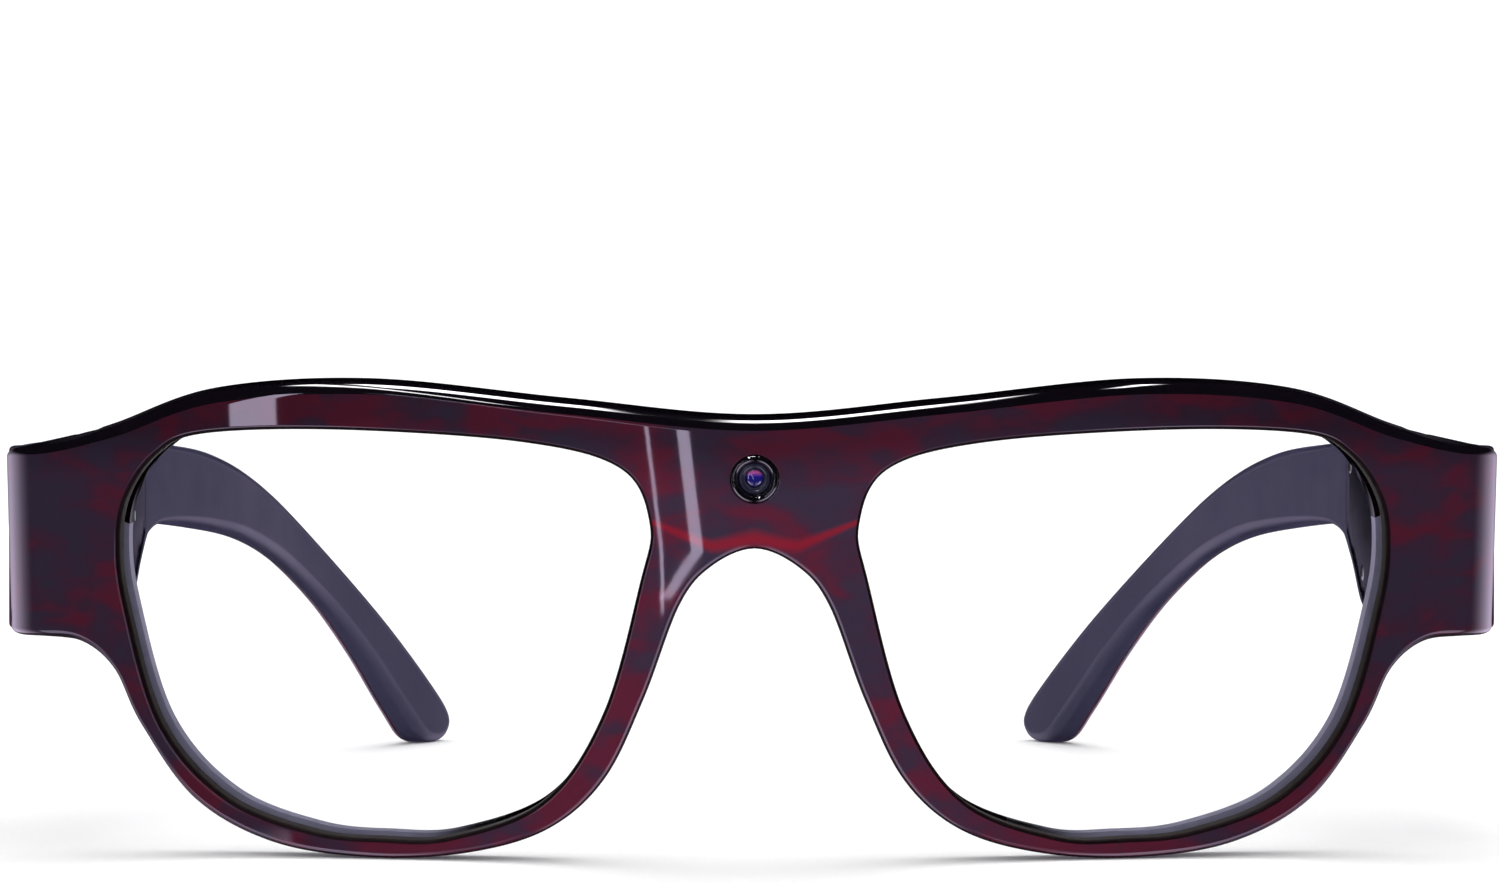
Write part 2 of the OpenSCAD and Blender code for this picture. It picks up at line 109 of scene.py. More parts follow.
TEMPLE_SIDE = [[17.7, 40.3], [45, 40.8], [68, 40.4], [86, 39.1], [102, 35.5], [118, 28.6], [135, 17.3],
               [146.5, 7.4], [150, 3.4], [149.4, 0.9], [147, 0], [143.6, 0.8], [139.5, 4.6], [131, 12.6],
               [121, 20], [110, 25.4], [98, 28.8], [86, 30.4], [72, 31.4], [62.5, 31], [55.5, 27.6],
               [49.8, 23.2], [45.4, 22]]
INNER_FACE = [[66.8, 60], [65.2, 70], [62.2, 86], [58.7, 102], [54, 118], [46.4, 135], [40.5, 146.5],
              [38.1, 151.5]]
OUTER_FACE = [[74.5, 17.7], [75, 21.6], [75.6, 30], [75.6, 46], [74.2, 62], [70.6, 76], [66, 90],
              [61.9, 102], [56.9, 118], [50.3, 135], [45, 146.5], [42.6, 151.5]]
BAY = [[26.2, 39.3], [57, 39.3], [57, 31.6], [47, 23.4], [26.2, 23.4]]
BAY_X = (68.1, 73.4)
COVER_SIDE = [[25, 39.4], [25.6, 40], [57.6, 40], [58.2, 39.4], [58.2, 31.2], [57.8, 30.6], [47.6, 22.9],
              [47, 22.7], [25.6, 22.7], [25, 23.3]]
BOSSES = [[27.4, 38], [27.4, 24.8], [55.6, 38], [48.4, 26.4]]
COVER_MID = [41.6, 31.35]
RECESS_SCALE = [1.0036, 1.007]
RECESS_X = (66, 68)
POCKET_R, POCKET_DEPTH = 0.95, 0.6
SHANK_R = 0.5
PINHOLES = [([50.6, 35.6], 0.4), ([50.6, 32.6], 0.62)]
BUTTON_Y = [39.4, 44.4]
BORE_R, BORE_REACH = 1.08, 0.6
UNDERSIDE_Z = (20, 24.5)
PLAY = 0.06


# ---- curves
def curve(points, steps, closed=False):
    """A Catmull-Rom curve through the points."""
    p = np.array(points, float)
    if closed:
        a, b, c, d = np.roll(p, 1, 0), p, np.roll(p, -1, 0), np.roll(p, -2, 0)
    else:
        whole = np.vstack([2 * p[0] - p[1], p, 2 * p[-1] - p[-2]])
        a, b, c, d = whole[:-3], whole[1:-2], whole[2:-1], whole[3:]
    t = (np.arange(steps) / steps)[None, :, None]
    a, b, c, d = (q[:, None, :] for q in (a, b, c, d))
    square = 2 * a - 5 * b + 4 * c - d
    cube = 3 * b - a - 3 * c + d
    out = 0.5 * (2 * b + (c - a) * t + square * t ** 2 + cube * t ** 3)
    out = out.reshape(-1, p.shape[1])
    return out if closed else np.vstack([out, p[-1]])


def spaced(points, step, closed=False):
    """The same line with evenly spaced points. A closed line leaves out its repeated first point."""
    p = np.vstack([points, points[:1]]) if closed else np.asarray(points, float)
    length = np.concatenate([[0], np.cumsum(np.linalg.norm(np.diff(p, axis=0), axis=1))])
    count = max(2, int(round(length[-1] / step)))
    at = np.linspace(0, length[-1], count + 1)
    out = np.column_stack([np.interp(at, length, p[:, k]) for k in range(p.shape[1])])
    return out[:-1] if closed else out


def smoothstep(low, high, x):
    t = np.clip((x - low) / (high - low), 0, 1)
    return t * t * (3 - 2 * t)


def left_normals(p, closed=False):
    """Unit vectors to the left of the direction of travel."""
    if closed:
        t = np.roll(p, -1, 0) - np.roll(p, 1, 0)
    else:
        t = np.gradient(p, axis=0)
    t /= np.linalg.norm(t, axis=1)[:, None]
    return np.column_stack([-t[:, 1], t[:, 0]])


def inside(points, loop):
    """Whether each point lies inside the loop."""
    x, y = points[:, 0][:, None], points[:, 1][:, None]
    x0, y0 = loop[:, 0][None], loop[:, 1][None]
    x1, y1 = np.roll(loop[:, 0], -1)[None], np.roll(loop[:, 1], -1)[None]
    crosses = (y0 > y) != (y1 > y)
    with np.errstate(divide="ignore", invalid="ignore"):
        at = x0 + (y - y0) * (x1 - x0) / (y1 - y0)
    return (crosses & (x < at)).sum(1) % 2 == 1


# ---- surfaces of the front
START = math.asin((HALF - CORNER_R) / (WRAP - CORNER_R))
FLAT_S = WRAP * START
CORNER_S = FLAT_S + CORNER_R * (math.pi / 2 - START)
CORNER_X = WRAP * math.sin(START)
CORNER_Y = WRAP * (1 - math.cos(START)) + CORNER_R * math.cos(START)


def face_plan(s):
    """x, y and the direction of the normal of the front face, at the length s along it from the middle."""
    a = np.abs(s)
    turn = np.where(a < FLAT_S, a / WRAP, np.minimum(START + (a - FLAT_S) / CORNER_R, math.pi / 2))
    x = np.where(a < FLAT_S, WRAP * np.sin(turn), HALF - CORNER_R + CORNER_R * np.sin(turn))
    y = np.where(a < FLAT_S, WRAP * (1 - np.cos(turn)), CORNER_Y - CORNER_R * np.cos(turn))
    return np.sign(s) * x, y + np.maximum(a - CORNER_S, 0), np.sign(s) * turn


def face_length(x):
    """The length along the face at x across."""
    a = np.minimum(np.abs(x), HALF)
    arc = WRAP * np.arcsin(np.minimum(a, CORNER_X) / WRAP)
    corner = FLAT_S + CORNER_R * (np.arcsin(np.clip((a - HALF + CORNER_R) / CORNER_R, -1, 1)) - START)
    return np.sign(x) * np.where(a <= CORNER_X, arc, corner)


def seam_y(v):
    """Depth in the plane of the front at which the seam cuts it."""
    return (SEAM_D - CENTRE_Y - FRONT_Y + v * TILT_SIN) / TILT_COS


def seam_length(v):
    y = seam_y(v)
    corner = FLAT_S + CORNER_R * (np.arccos(np.clip((CORNER_Y - y) / CORNER_R, -1, 1)) - START)
    return np.where(y > CORNER_Y, CORNER_S + y - CORNER_Y, corner)


def end_cap(x, y):
    """Height in the plane of the front at which the sloping top of an end piece cuts it."""
    z = CAP_Z - (np.abs(x) - CAP_X) * math.tan(CAP_SLOPE)
    return (z - FRONT_Z - y * TILT_SIN) / TILT_COS


def depth_at(x, behind):
    return WRAP - np.sqrt((WRAP - behind) ** 2 - np.asarray(x, float) ** 2)


BACK_R = WRAP - RIM
BACK_S = BACK_R * math.asin(TEMPLE_IN / BACK_R)
BACK_Y = float(depth_at(TEMPLE_IN, RIM))


def pad_bulge(x, v):
    """How far the nose pads stand out behind the rims."""
    up = v - PAD_V
    reach = RIM + PAD_DEPTH - PAD_R + np.sqrt(np.maximum(PAD_R ** 2 - up ** 2, 0)) - depth_at(x, RIM)
    soft = 0.5 * (reach + np.sqrt(reach ** 2 + 0.5)) - 0.1
    return np.maximum(soft, 0) * smoothstep(17.5, 15, np.abs(x)) * smoothstep(12.5, 9, np.abs(up))


def back_plan(q):
    a = np.abs(q)
    turn = np.minimum(a, BACK_S) / BACK_R
    return np.sign(q) * BACK_R * np.sin(turn), WRAP - BACK_R * np.cos(turn) + np.maximum(a - BACK_S, 0)


def face_point(sv):
    x, y, _ = face_plan(sv[:, 0])
    return np.column_stack([x, y, sv[:, 1]])


def back_point(qv):
    x, y = back_plan(qv[:, 0])
    return np.column_stack([x, y + pad_bulge(x, qv[:, 1]), qv[:, 1]])


def opening_point(side, uv, behind):
    """A point in the direction of a lens, at a set distance behind the face of the front."""
    c, s = math.cos(LENS_TURN), math.sin(LENS_TURN)
    u, v = uv[:, 0], uv[:, 1]
    x0 = LENS_X + u * c
    y0 = float(depth_at(LENS_X, 0)) + u * s - WRAP
    b = -x0 * s + y0 * c
    w = -b - np.sqrt(b * b - (x0 * x0 + y0 * y0 - (WRAP - behind) ** 2))
    return np.column_stack([side * (x0 - w * s), y0 + WRAP + w * c, v])


def front_to_row(p):
    return np.column_stack([p[:, 0], p[:, 1] * TILT_COS - p[:, 2] * TILT_SIN + FRONT_Y,
                            p[:, 1] * TILT_SIN + p[:, 2] * TILT_COS + FRONT_Z]) * MM


def row_to_front(co):
    """x and y of row points in the front's own terms, in millimetres."""
    y, z = co[:, 1] / MM - FRONT_Y, co[:, 2] / MM - FRONT_Z
    return co[:, 0] / MM, y * TILT_COS + z * TILT_SIN


def normal_to_row(nx, ny):
    return np.column_stack([nx, ny * TILT_COS, ny * TILT_SIN])


def temple_to_row(side):
    """x across, z up and d back from the face, to the row frame."""
    def place(p):
        return np.column_stack([side * p[:, 0], p[:, 1] - CENTRE_Y, p[:, 2]]) * MM
    return place


# ---- meshes
def new_object(name, data):
    thing = bpy.data.objects.new(name, data)
    bpy.context.scene.collection.objects.link(thing)
    return thing


def read(items, key, kind, width=1):
    """One property of every item."""
    values = np.zeros(len(items) * width, kind)
    items.foreach_get(key, values)
    return values.reshape(-1, width) if width > 1 else values


class Shell:
    """Collects rings, sheets and plain faces into one mesh."""

    def __init__(self, place):
        self.place = place
        self.points = []
        self.faces = []
        self.marks = []
        self.count = 0

    def add(self, points):
        first = self.count
        self.points.append(np.asarray(points, float))
        self.count += len(points)
        return np.arange(first, self.count)

    def loops(self, rings, marks):
        """Quads between successive rings of points. Each strip has one mark, or one for each quad."""
        ids = [self.add(r) for r in rings]
        for a, b, mark in zip(ids[:-1], ids[1:], marks):
            quads = np.column_stack([a, np.roll(a, -1), np.roll(b, -1), b])
            self.faces += [tuple(q) for q in quads.tolist()]
            self.marks += np.broadcast_to(mark, len(a)).tolist()
        return ids[0], ids[-1]

    def cap(self, ids, mark):
        self.faces.append(tuple(ids.tolist()))
        self.marks.append(mark)

    def slab(self, loop, near, far, near_edge, far_edge, steps, spacing, marks):
        """A plate between two surfaces, its edges rounded by offsets that take the loop inwards."""
        radii = [np.linalg.norm(edge, axis=1) for edge in (near_edge, far_edge)]
        rings = rounded_rings(near(loop), near(loop + near_edge), far(loop), far(loop + far_edge),
                              *radii, steps)
        first, last = self.loops(rings, [marks[0]] * steps + [marks[1]] * (steps + 1))
        self.sheet([(loop + near_edge, first)], near, spacing[0], marks[0])
        self.sheet([(loop + far_edge, last)], far, spacing[1], marks[2])

    def sheet(self, bounds, to_3d, spacing, mark, creases=()):
        """Fills the first bound less the others. A bound is a flat loop with its vertex numbers."""
        flat = np.vstack([b[0] for b in bounds])
        ids = list(np.concatenate([b[1] for b in bounds]))
        edges, first = [], 0
        for loop, _ in bounds:
            n = len(loop)
            edges += [(first + i, first + (i + 1) % n) for i in range(n)]
            first += n
        for line in creases:
            edges += [(first + i, first + i + 1) for i in range(len(line) - 1)]
            flat = np.vstack([flat, line])
            ids += list(self.add(to_3d(line)))
            first += len(line)
        low, high = bounds[0][0].min(0), bounds[0][0].max(0)
        grid = np.stack(np.meshgrid(np.arange(low[0], high[0], spacing) + spacing / 2,
                                    np.arange(low[1], high[1], spacing) + spacing / 2), -1).reshape(-1, 2)
        grid = grid[inside(grid, bounds[0][0])]
        for loop, _ in bounds[1:]:
            grid = grid[~inside(grid, loop)]
        near = np.full(len(grid), 1e9)
        for k in range(0, len(flat), 200):
            near = np.minimum(near, np.linalg.norm(grid[:, None] - flat[None, k:k + 200], axis=2).min(1))
        grid = grid[near > 0.62 * spacing]
        ids += list(self.add(to_3d(grid)))
        flat = np.vstack([flat, grid])
        _, _, tris, origin, _, _ = delaunay_2d_cdt([Vector(p) for p in flat], edges, [], 0, 1e-5)
        tris = np.array([[origin[i][0] for i in t] for t in tris])
        centre = flat[tris].mean(1)
        keep = inside(centre, bounds[0][0])
        for loop, _ in bounds[1:]:
            keep &= ~inside(centre, loop)
        for t in tris[keep]:
            self.faces.append(tuple(int(ids[i]) for i in t))
            self.marks.append(mark)

    def build(self, name):
        mesh = bpy.data.meshes.new(name)
        points = self.place(np.vstack(self.points))
        mesh.from_pydata([tuple(p) for p in points], [], self.faces)
        mesh.polygons.foreach_set("material_index", self.marks)
        bm = bmesh.new()
        bm.from_mesh(mesh)
        bmesh.ops.remove_doubles(bm, verts=bm.verts, dist=1e-8)
        bmesh.ops.recalc_face_normals(bm, faces=bm.faces)
        bm.to_mesh(mesh)
        bm.free()
        return new_object(name, mesh)


def rounded_rings(top, top_in, bottom, bottom_in, top_r, bottom_r, steps, middle=()):
    """Rings from a sheet, round an edge, down a wall, round the next edge and on to the other sheet."""
    wall = bottom - top
    wall /= np.linalg.norm(wall, axis=1)[:, None]
    turns = np.linspace(0, math.pi / 2, steps + 1)
    top_r, bottom_r = (np.broadcast_to(r, len(top))[:, None] for r in (top_r, bottom_r))
    rings = [top + (top_in - top) * (1 - math.sin(a)) + wall * top_r * (1 - math.cos(a)) for a in turns]
    rings += list(middle)
    rings += [bottom + (bottom_in - bottom) * (1 - math.sin(a)) - wall * bottom_r * (1 - math.cos(a))
              for a in turns[::-1]]
    return rings


def inset(segments, radii):
    """Inward offsets for a loop of smooth segments that meet at corners."""
    parts = [left_normals(p) * np.broadcast_to(r, len(p))[:, None] for p, r in zip(segments, radii)]
    out = []
    for k, part in enumerate(parts):
        part = part.copy()
        part[0] += parts[k - 1][-1]
        out.append(part[:-1])
    return np.vstack(out)


def cut(piece, cutters):
    """Subtracts each cutter from the piece, then removes the cutters."""
    for c in cutters:
        boolean = piece.modifiers.new(c.name, "BOOLEAN")
        boolean.operation, boolean.solver = "DIFFERENCE", "EXACT"
        boolean.object = c
    result = bpy.data.meshes.new_from_object(piece.evaluated_get(bpy.context.evaluated_depsgraph_get()))
    piece.modifiers.clear()
    piece.data = result
    for c in cutters:
        bpy.data.objects.remove(c)


def block(name, place, corners_a, corners_b):
    """A closed prism between two outlines with the same number of points."""
    shell = Shell(place)
    for ids in shell.loops([corners_a, corners_b], [EDGE]):
        shell.cap(ids, EDGE)
    return shell.build(name)


def side_block(name, place, points, x_range):
    p = np.array(points, float)
    return block(name, place, *(np.column_stack([np.full(len(p), x), p]) for x in x_range))


def box_block(name, place, x, y, z):
    return side_block(name, place, [[y[0], z[0]], [y[1], z[0]], [y[1], z[1]], [y[0], z[1]]], x)


def disc(x, y, z, radius, count=40):
    a = np.linspace(0, 2 * math.pi, count, endpoint=False)
    return np.column_stack([x + radius * np.cos(a), y + radius * np.sin(a), np.full(count, z)])


def settle_normals(piece, surfaces=(), angle=38):
    """Smooth shading with sharp creases. Points on a known surface take that surface's own normal."""
    mesh = piece.data
    mesh.shade_smooth()
    mesh.set_sharp_from_angle(angle=math.radians(angle))
    co = read(mesh.vertices, "co", float, 3)
    corners = read(mesh.corner_normals, "vector", np.float32, 3).astype(float)
    verts = read(mesh.loops, "vertex_index", np.int32)
    for surface in surfaces:
        on, normals = surface(co)
        known = on[verts] & ((corners * normals[verts]).sum(1) > 0.86)
        corners[known] = normals[verts][known]
    mesh.normals_split_custom_set([tuple(n) for n in corners])


# ---- materials
def ramp_node(tree, factor, stops):
    ramp = tree.nodes.new("ShaderNodeValToRGB")
    tree.links.new(factor, ramp.inputs[0])
    elements = ramp.color_ramp.elements
    while len(elements) < len(stops):
        elements.new(0.5)
    for element, (at, colour) in zip(elements, stops):
        element.position = at
        element.color = (*colour, 1) if hasattr(colour, "__len__") else (colour, colour, colour, 1)
    return ramp.outputs[0]


def math_node(tree, operation, a, b=0.0, c=0.0):
    node = tree.nodes.new("ShaderNodeMath")
    node.operation = operation
    for socket, value in zip(node.inputs, (a, b, c)):
        if isinstance(value, (int, float)):
            socket.default_value = value
        else:
            tree.links.new(value, socket)
    return node.outputs[0]


def range_node(tree, value, start, end, low=0.0, high=1.0, smooth=True):
    """Takes the range from start to end onto the range from low to high."""
    node = tree.nodes.new("ShaderNodeMapRange")
    if smooth:
        node.interpolation_type = "SMOOTHSTEP"
    for index, number in enumerate((start, end, low, high), 1):
        node.inputs[index].default_value = number
    tree.links.new(value, node.inputs[0])
    return node.outputs[0]


def components(tree, coords):
    split = tree.nodes.new("ShaderNodeSeparateXYZ")
    tree.links.new(coords, split.inputs[0])
    return split.outputs


def mix_colour(tree, factor, a, b, blend="MIX"):
    node = tree.nodes.new("ShaderNodeMix")
    node.data_type, node.blend_type = "RGBA", blend
    for index, value in ((0, factor), (6, a), (7, b)):
        if isinstance(value, bpy.types.NodeSocket):
            tree.links.new(value, node.inputs[index])
        elif index == 0:
            node.inputs[0].default_value = value
        else:
            node.inputs[index].default_value = (*value, 1)
    return node.outputs[2]


def noise_node(tree, coords, scale, detail=2.0, rough=0.5, stretch=(1, 1, 1), distortion=0.0):
    mapping = tree.nodes.new("ShaderNodeMapping")
    mapping.inputs["Scale"].default_value = stretch
    tree.links.new(coords, mapping.inputs["Vector"])
    node = tree.nodes.new("ShaderNodeTexNoise")
    tree.links.new(mapping.outputs[0], node.inputs["Vector"])
    settings = {"Scale": scale, "Detail": detail, "Roughness": rough, "Distortion": distortion}
    for key, value in settings.items():
        node.inputs[key].default_value = value
    return node.outputs["Fac"]


MATERIALS = {}


def start_material(name, constants):
    m = bpy.data.materials.new(name)
    m.use_nodes = True
    MATERIALS[name] = m
    tree = m.node_tree
    shader = tree.nodes["Principled BSDF"]
    for key, value in constants.items():
        shader.inputs[key].default_value = value
    coords = tree.nodes.new("ShaderNodeTexCoord").outputs["Object"]
    return tree, shader, coords


def add_bump(tree, shader, height, strength, distance):
    bump = tree.nodes.new("ShaderNodeBump")
    bump.inputs["Strength"].default_value = strength
    bump.inputs["Distance"].default_value = distance
    tree.links.new(height, bump.inputs["Height"])
    tree.links.new(bump.outputs[0], shader.inputs["Normal"])


def plain_finish(name, dark, light, rough, grain, bump, depth, constants):
    """A finish with soft colour variation, uneven gloss and a fine grain."""
    tree, shader, coords = start_material(name, constants)
    stretch = GRAIN_STRETCH.get(name, (1, 1, 1))
    broad = noise_node(tree, coords, grain / 9, 3, 0.55, stretch)
    fine = noise_node(tree, coords, grain, 4, 0.6, stretch)
    blend = math_node(tree, "MULTIPLY_ADD", fine, 0.4, math_node(tree, "MULTIPLY", broad, 0.6))
    tree.links.new(ramp_node(tree, blend, [(0.3, dark), (0.7, light)]), shader.inputs["Base Color"])
    tree.links.new(ramp_node(tree, broad, [(0.3, rough[0]), (0.7, rough[1])]), shader.inputs["Roughness"])
    add_bump(tree, shader, fine, bump, depth)


def paint_shade_inwards(name, low, high):
    """Painted shade: takes the colour of a finish down to black between two distances from the middle of the
    face.
    """
    tree = MATERIALS[name].node_tree
    base = tree.nodes["Principled BSDF"].inputs["Base Color"]
    x = components(tree, tree.nodes.new("ShaderNodeTexCoord").outputs["Object"])[0]
    share = range_node(tree, math_node(tree, "ABSOLUTE", x), low, high, 0.02, 1.0)
    tree.links.new(mix_colour(tree, 1.0, base.links[0].from_socket, share, "MULTIPLY"), base)


def places_on_face(tree, coords):
    """Distance from the middle, height in the plane of the front and depth below the brow, in millimetres."""
    x, y, z = components(tree, coords)
    wide = math_node(tree, "MULTIPLY", math_node(tree, "ABSOLUTE", x), 1 / MM)
    up = math_node(tree, "MULTIPLY_ADD", z, TILT_COS / MM, -TILT_COS * FRONT_Z)
    up = math_node(tree, "ADD", up, math_node(tree, "MULTIPLY_ADD", y, -TILT_SIN / MM, TILT_SIN * FRONT_Y))
    rise = math_node(tree, "MULTIPLY_ADD", wide, 0.084, 43.6)
    fall = math_node(tree, "MULTIPLY_ADD", wide, -0.084, 49.8)
    under = math_node(tree, "SUBTRACT", math_node(tree, "MINIMUM", rise, fall), up)
    return wide, up, under


def streak_and_glow_line(tree, wide, up):
    """The strength of the red line over the nose arch and out to each rim: partly a streak in the plastic,
    partly painted glow of light coming through its edges.
    """
    arch = math_node(tree, "MULTIPLY_ADD", wide, -0.2, 32.2)
    wing = math_node(tree, "MULTIPLY_ADD", wide, 0.41, 29.7)
    line = math_node(tree, "SMOOTH_MAX", arch, wing, 0.6)
    away = math_node(tree, "ABSOLUTE", math_node(tree, "SUBTRACT", up, line))
    thick = math_node(tree, "MULTIPLY_ADD", wide, -0.085, 1.25)
    band = math_node(tree, "DIVIDE", away, math_node(tree, "MAXIMUM", thick, 0.4))
    band = ramp_node(tree, band, [(0.2, 1.0), (0.6, 0.4), (1.0, 0.0)])
    reach = math_node(tree, "LESS_THAN", wide, 13)
    return math_node(tree, "MULTIPLY", math_node(tree, "MULTIPLY", band, reach), 0.85)


def marbled(name, slate, plum, wine, rough, on_front):
    """Glossy acetate: slate and wine patches under a clear polish.

    On the front it is redder under the brow, a red line runs over the nose arch (part streak, part painted
    glow), and painted shade darkens it at the top and the ends."""
    tree, shader, coords = start_material(name, {"Specular IOR Level": 0.42})
    patches = noise_node(tree, coords, 150, 2.0, 0.5, (1, 1, 1.5), 0.4)
    streaks = noise_node(tree, coords, 240, 2.5, 0.5, (0.7, 1, 1.8), 0.8)
    blend = math_node(tree, "MULTIPLY_ADD", streaks, 0.36, math_node(tree, "MULTIPLY", patches, 0.64))
    low = range_node(tree, components(tree, coords)[2], 0.004, 0.022, 0.10, 0.0, smooth=False)
    blend = math_node(tree, "ADD", blend, low)
    if on_front:
        wide, up, under = places_on_face(tree, coords)
        under = math_node(tree, "MULTIPLY", under, 0.1)
        near = ramp_node(tree, under, [(0.10, 0.08), (0.20, 0.05), (0.38, 0.0)])
        sides = ramp_node(tree, math_node(tree, "MULTIPLY", wide, 0.02), [(0.10, 0.25), (0.34, 1.0)])
        blend = math_node(tree, "MULTIPLY_ADD", near, sides, blend)
    colour = ramp_node(tree, blend, [(0.40, slate), (0.50, plum), (0.62, wine)])
    if on_front:
        # painted shade: darker towards the ends of the front and just under the top of the brow
        painted_shade_ends = range_node(tree, wide, 14, 62, 1.0, 0.62)
        painted_shade_top = ramp_node(tree, under, [(0.30, 0.58), (0.75, 1.0)])
        for shade in (painted_shade_ends, painted_shade_top):
            colour = mix_colour(tree, 1.0, colour, shade, "MULTIPLY")
        # partly painted glow: the red line over the nose arch
        colour = mix_colour(tree, streak_and_glow_line(tree, wide, up), colour, (0.23, 0.012, 0.027))
    tree.links.new(colour, shader.inputs["Base Color"])
    gloss = ramp_node(tree, streaks, [(0.3, rough * 0.8), (0.8, rough * 1.25)])
    tree.links.new(gloss, shader.inputs["Roughness"])
    add_bump(tree, shader, noise_node(tree, coords, 420, 2), 0.04, 4e-6)


def clear_glass(name, ior, tint, level):
    """Glass that lets shadow rays straight through."""
    constants = {"Transmission Weight": 1.0, "Roughness": 0.0, "IOR": ior, "Specular IOR Level": level}
    tree, shader, coords = start_material(name, constants)
    film = noise_node(tree, coords, 40, 2)
    tree.links.new(ramp_node(tree, film, [(0.3, tint), (0.7, (1, 1, 1))]), shader.inputs["Base Color"])
    path = tree.nodes.new("ShaderNodeLightPath")
    through = tree.nodes.new("ShaderNodeBsdfTransparent")
    mix = tree.nodes.new("ShaderNodeMixShader")
    sources = (path.outputs["Is Shadow Ray"], shader.outputs[0], through.outputs[0])
    for source, socket in zip(sources, mix.inputs):
        tree.links.new(source, socket)
    tree.links.new(mix.outputs[0], tree.nodes["Material Output"].inputs["Surface"])


def coated_glass(name, centre, radius):
    """Camera glass: its own deep blue below, with a painted violet and pink reflection across its upper part.
    """
    constants = {"Roughness": 0.03, "Coat Weight": 1.0, "Coat Roughness": 0.02}
    tree, shader, coords = start_material(name, constants)
    z = components(tree, coords)[2]
    up = math_node(tree, "MULTIPLY_ADD", z, 0.5 / radius, 0.45 - 0.5 * centre.z / radius)
    up = math_node(tree, "MULTIPLY_ADD", noise_node(tree, coords, 900, 2), 0.10, up)
    tint_and_painted_sheen = ramp_node(tree, up, [(0.1, (0.012, 0.012, 0.10)), (0.56, (0.010, 0.009, 0.17)),
                                 (0.66, (0.12, 0.035, 0.28)), (0.80, (0.42, 0.08, 0.26)),
                                 (1.0, (0.10, 0.04, 0.20))])
    tree.links.new(tint_and_painted_sheen, shader.inputs["Base Color"])


def circuit_board(name):
    tree, shader, coords = start_material(name, {"Specular IOR Level": 0.5})
    cells = tree.nodes.new("ShaderNodeTexBrick")
    tree.links.new(coords, cells.inputs["Vector"])
    settings = {"Scale": 900.0, "Mortar Size": 0.05, "Color1": (0.006, 0.055, 0.022, 1),
                "Color2": (0.010, 0.085, 0.035, 1), "Mortar": (0.03, 0.17, 0.07, 1)}
    for key, value in settings.items():
        cells.inputs[key].default_value = value
    tree.links.new(cells.outputs["Color"], shader.inputs["Base Color"])
    gloss = ramp_node(tree, noise_node(tree, coords, 700), [(0.3, 0.3), (0.7, 0.45)])
    tree.links.new(gloss, shader.inputs["Roughness"])
    add_bump(tree, shader, cells.outputs["Fac"], 0.2, 1e-5)


# name, darkest and lightest colour, roughness range, grain, bump strength and depth, and further settings
FINISHES = [
    ("frame_edge", (0.0022, 0.0016, 0.0030), (0.0045, 0.0030, 0.0055), (0.03, 0.05), 500, 0.01, 2e-6, {}),
    ("frame_back", (0.006, 0.005, 0.007), (0.011, 0.009, 0.013), (0.30, 0.42), 1500, 0.15, 1e-5, {}),
    # painted light: the pale lavender that the black wall behind a lens shows when lit
    ("rim_wall_painted_light", (0.17, 0.165, 0.23), (0.23, 0.225, 0.31), (0.30, 0.40), 700, 0.05, 5e-6, {}),
    # painted shade: a near-black that hardly reflects, for the front walls of the openings and the lower edge
    ("rim_shade", (0.003, 0.0009, 0.0014), (0.007, 0.0018, 0.0026), (0.45, 0.60), 700, 0.05, 5e-6,
     {"Specular IOR Level": 0.05}),
    ("temple_inner", (0.011, 0.0115, 0.033), (0.017, 0.0168, 0.045), (0.40, 0.50), 1600, 0.10, 8e-6,
     {"Specular IOR Level": 0.12}),
    ("temple_wall", (0.022, 0.021, 0.046), (0.032, 0.030, 0.062), (0.36, 0.46), 900, 0.05, 5e-6,
     {"Specular IOR Level": 0.15}),
    ("cover_black", (0.004, 0.004, 0.007), (0.008, 0.008, 0.013), (0.07, 0.12), 1200, 0.03, 4e-6, {}),
    ("camera_black", (0.0018, 0.0018, 0.0022), (0.004, 0.004, 0.005), (0.02, 0.03), 800, 0.01, 1e-6,
     {"Coat Weight": 1.0, "Coat Roughness": 0.02, "Coat IOR": 1.5}),
    ("barrel", (0.010, 0.010, 0.024), (0.022, 0.022, 0.048), (0.16, 0.24), 2500, 0.1, 4e-6, {}),
    ("steel", (0.40, 0.40, 0.42), (0.60, 0.60, 0.62), (0.22, 0.34), 2200, 0.12, 6e-6, {"Metallic": 1.0}),
    ("screw", (0.30, 0.30, 0.32), (0.55, 0.55, 0.57), (0.20, 0.32), 3000, 0.12, 5e-6, {"Metallic": 1.0}),
    ("chip", (0.008, 0.008, 0.009), (0.016, 0.016, 0.018), (0.45, 0.6), 2600, 0.3, 1e-5, {}),
    ("flex", (0.28, 0.11, 0.015), (0.48, 0.20, 0.03), (0.28, 0.4), 900, 0.1, 1e-5, {}),
    ("foil", (0.35, 0.36, 0.38), (0.55, 0.56, 0.58), (0.25, 0.45), 700, 0.4, 4e-5, {"Metallic": 0.8}),
    ("lead", (0.35, 0.02, 0.02), (0.55, 0.04, 0.03), (0.35, 0.5), 1500, 0.1, 1e-5, {}),
    ("button", (0.005, 0.005, 0.006), (0.010, 0.010, 0.012), (0.28, 0.4), 2200, 0.2, 8e-6, {}),
    ("led", (0.35, 0.50, 0.40), (0.55, 0.72, 0.60), (0.25, 0.35), 1500, 0.1, 1e-5,
     {"Transmission Weight": 0.3}),
]
# How much finer than round the grain of a finish runs along each axis.
GRAIN_STRETCH = {"steel": (1, 1, 6), "flex": (1, 0.2, 1)}


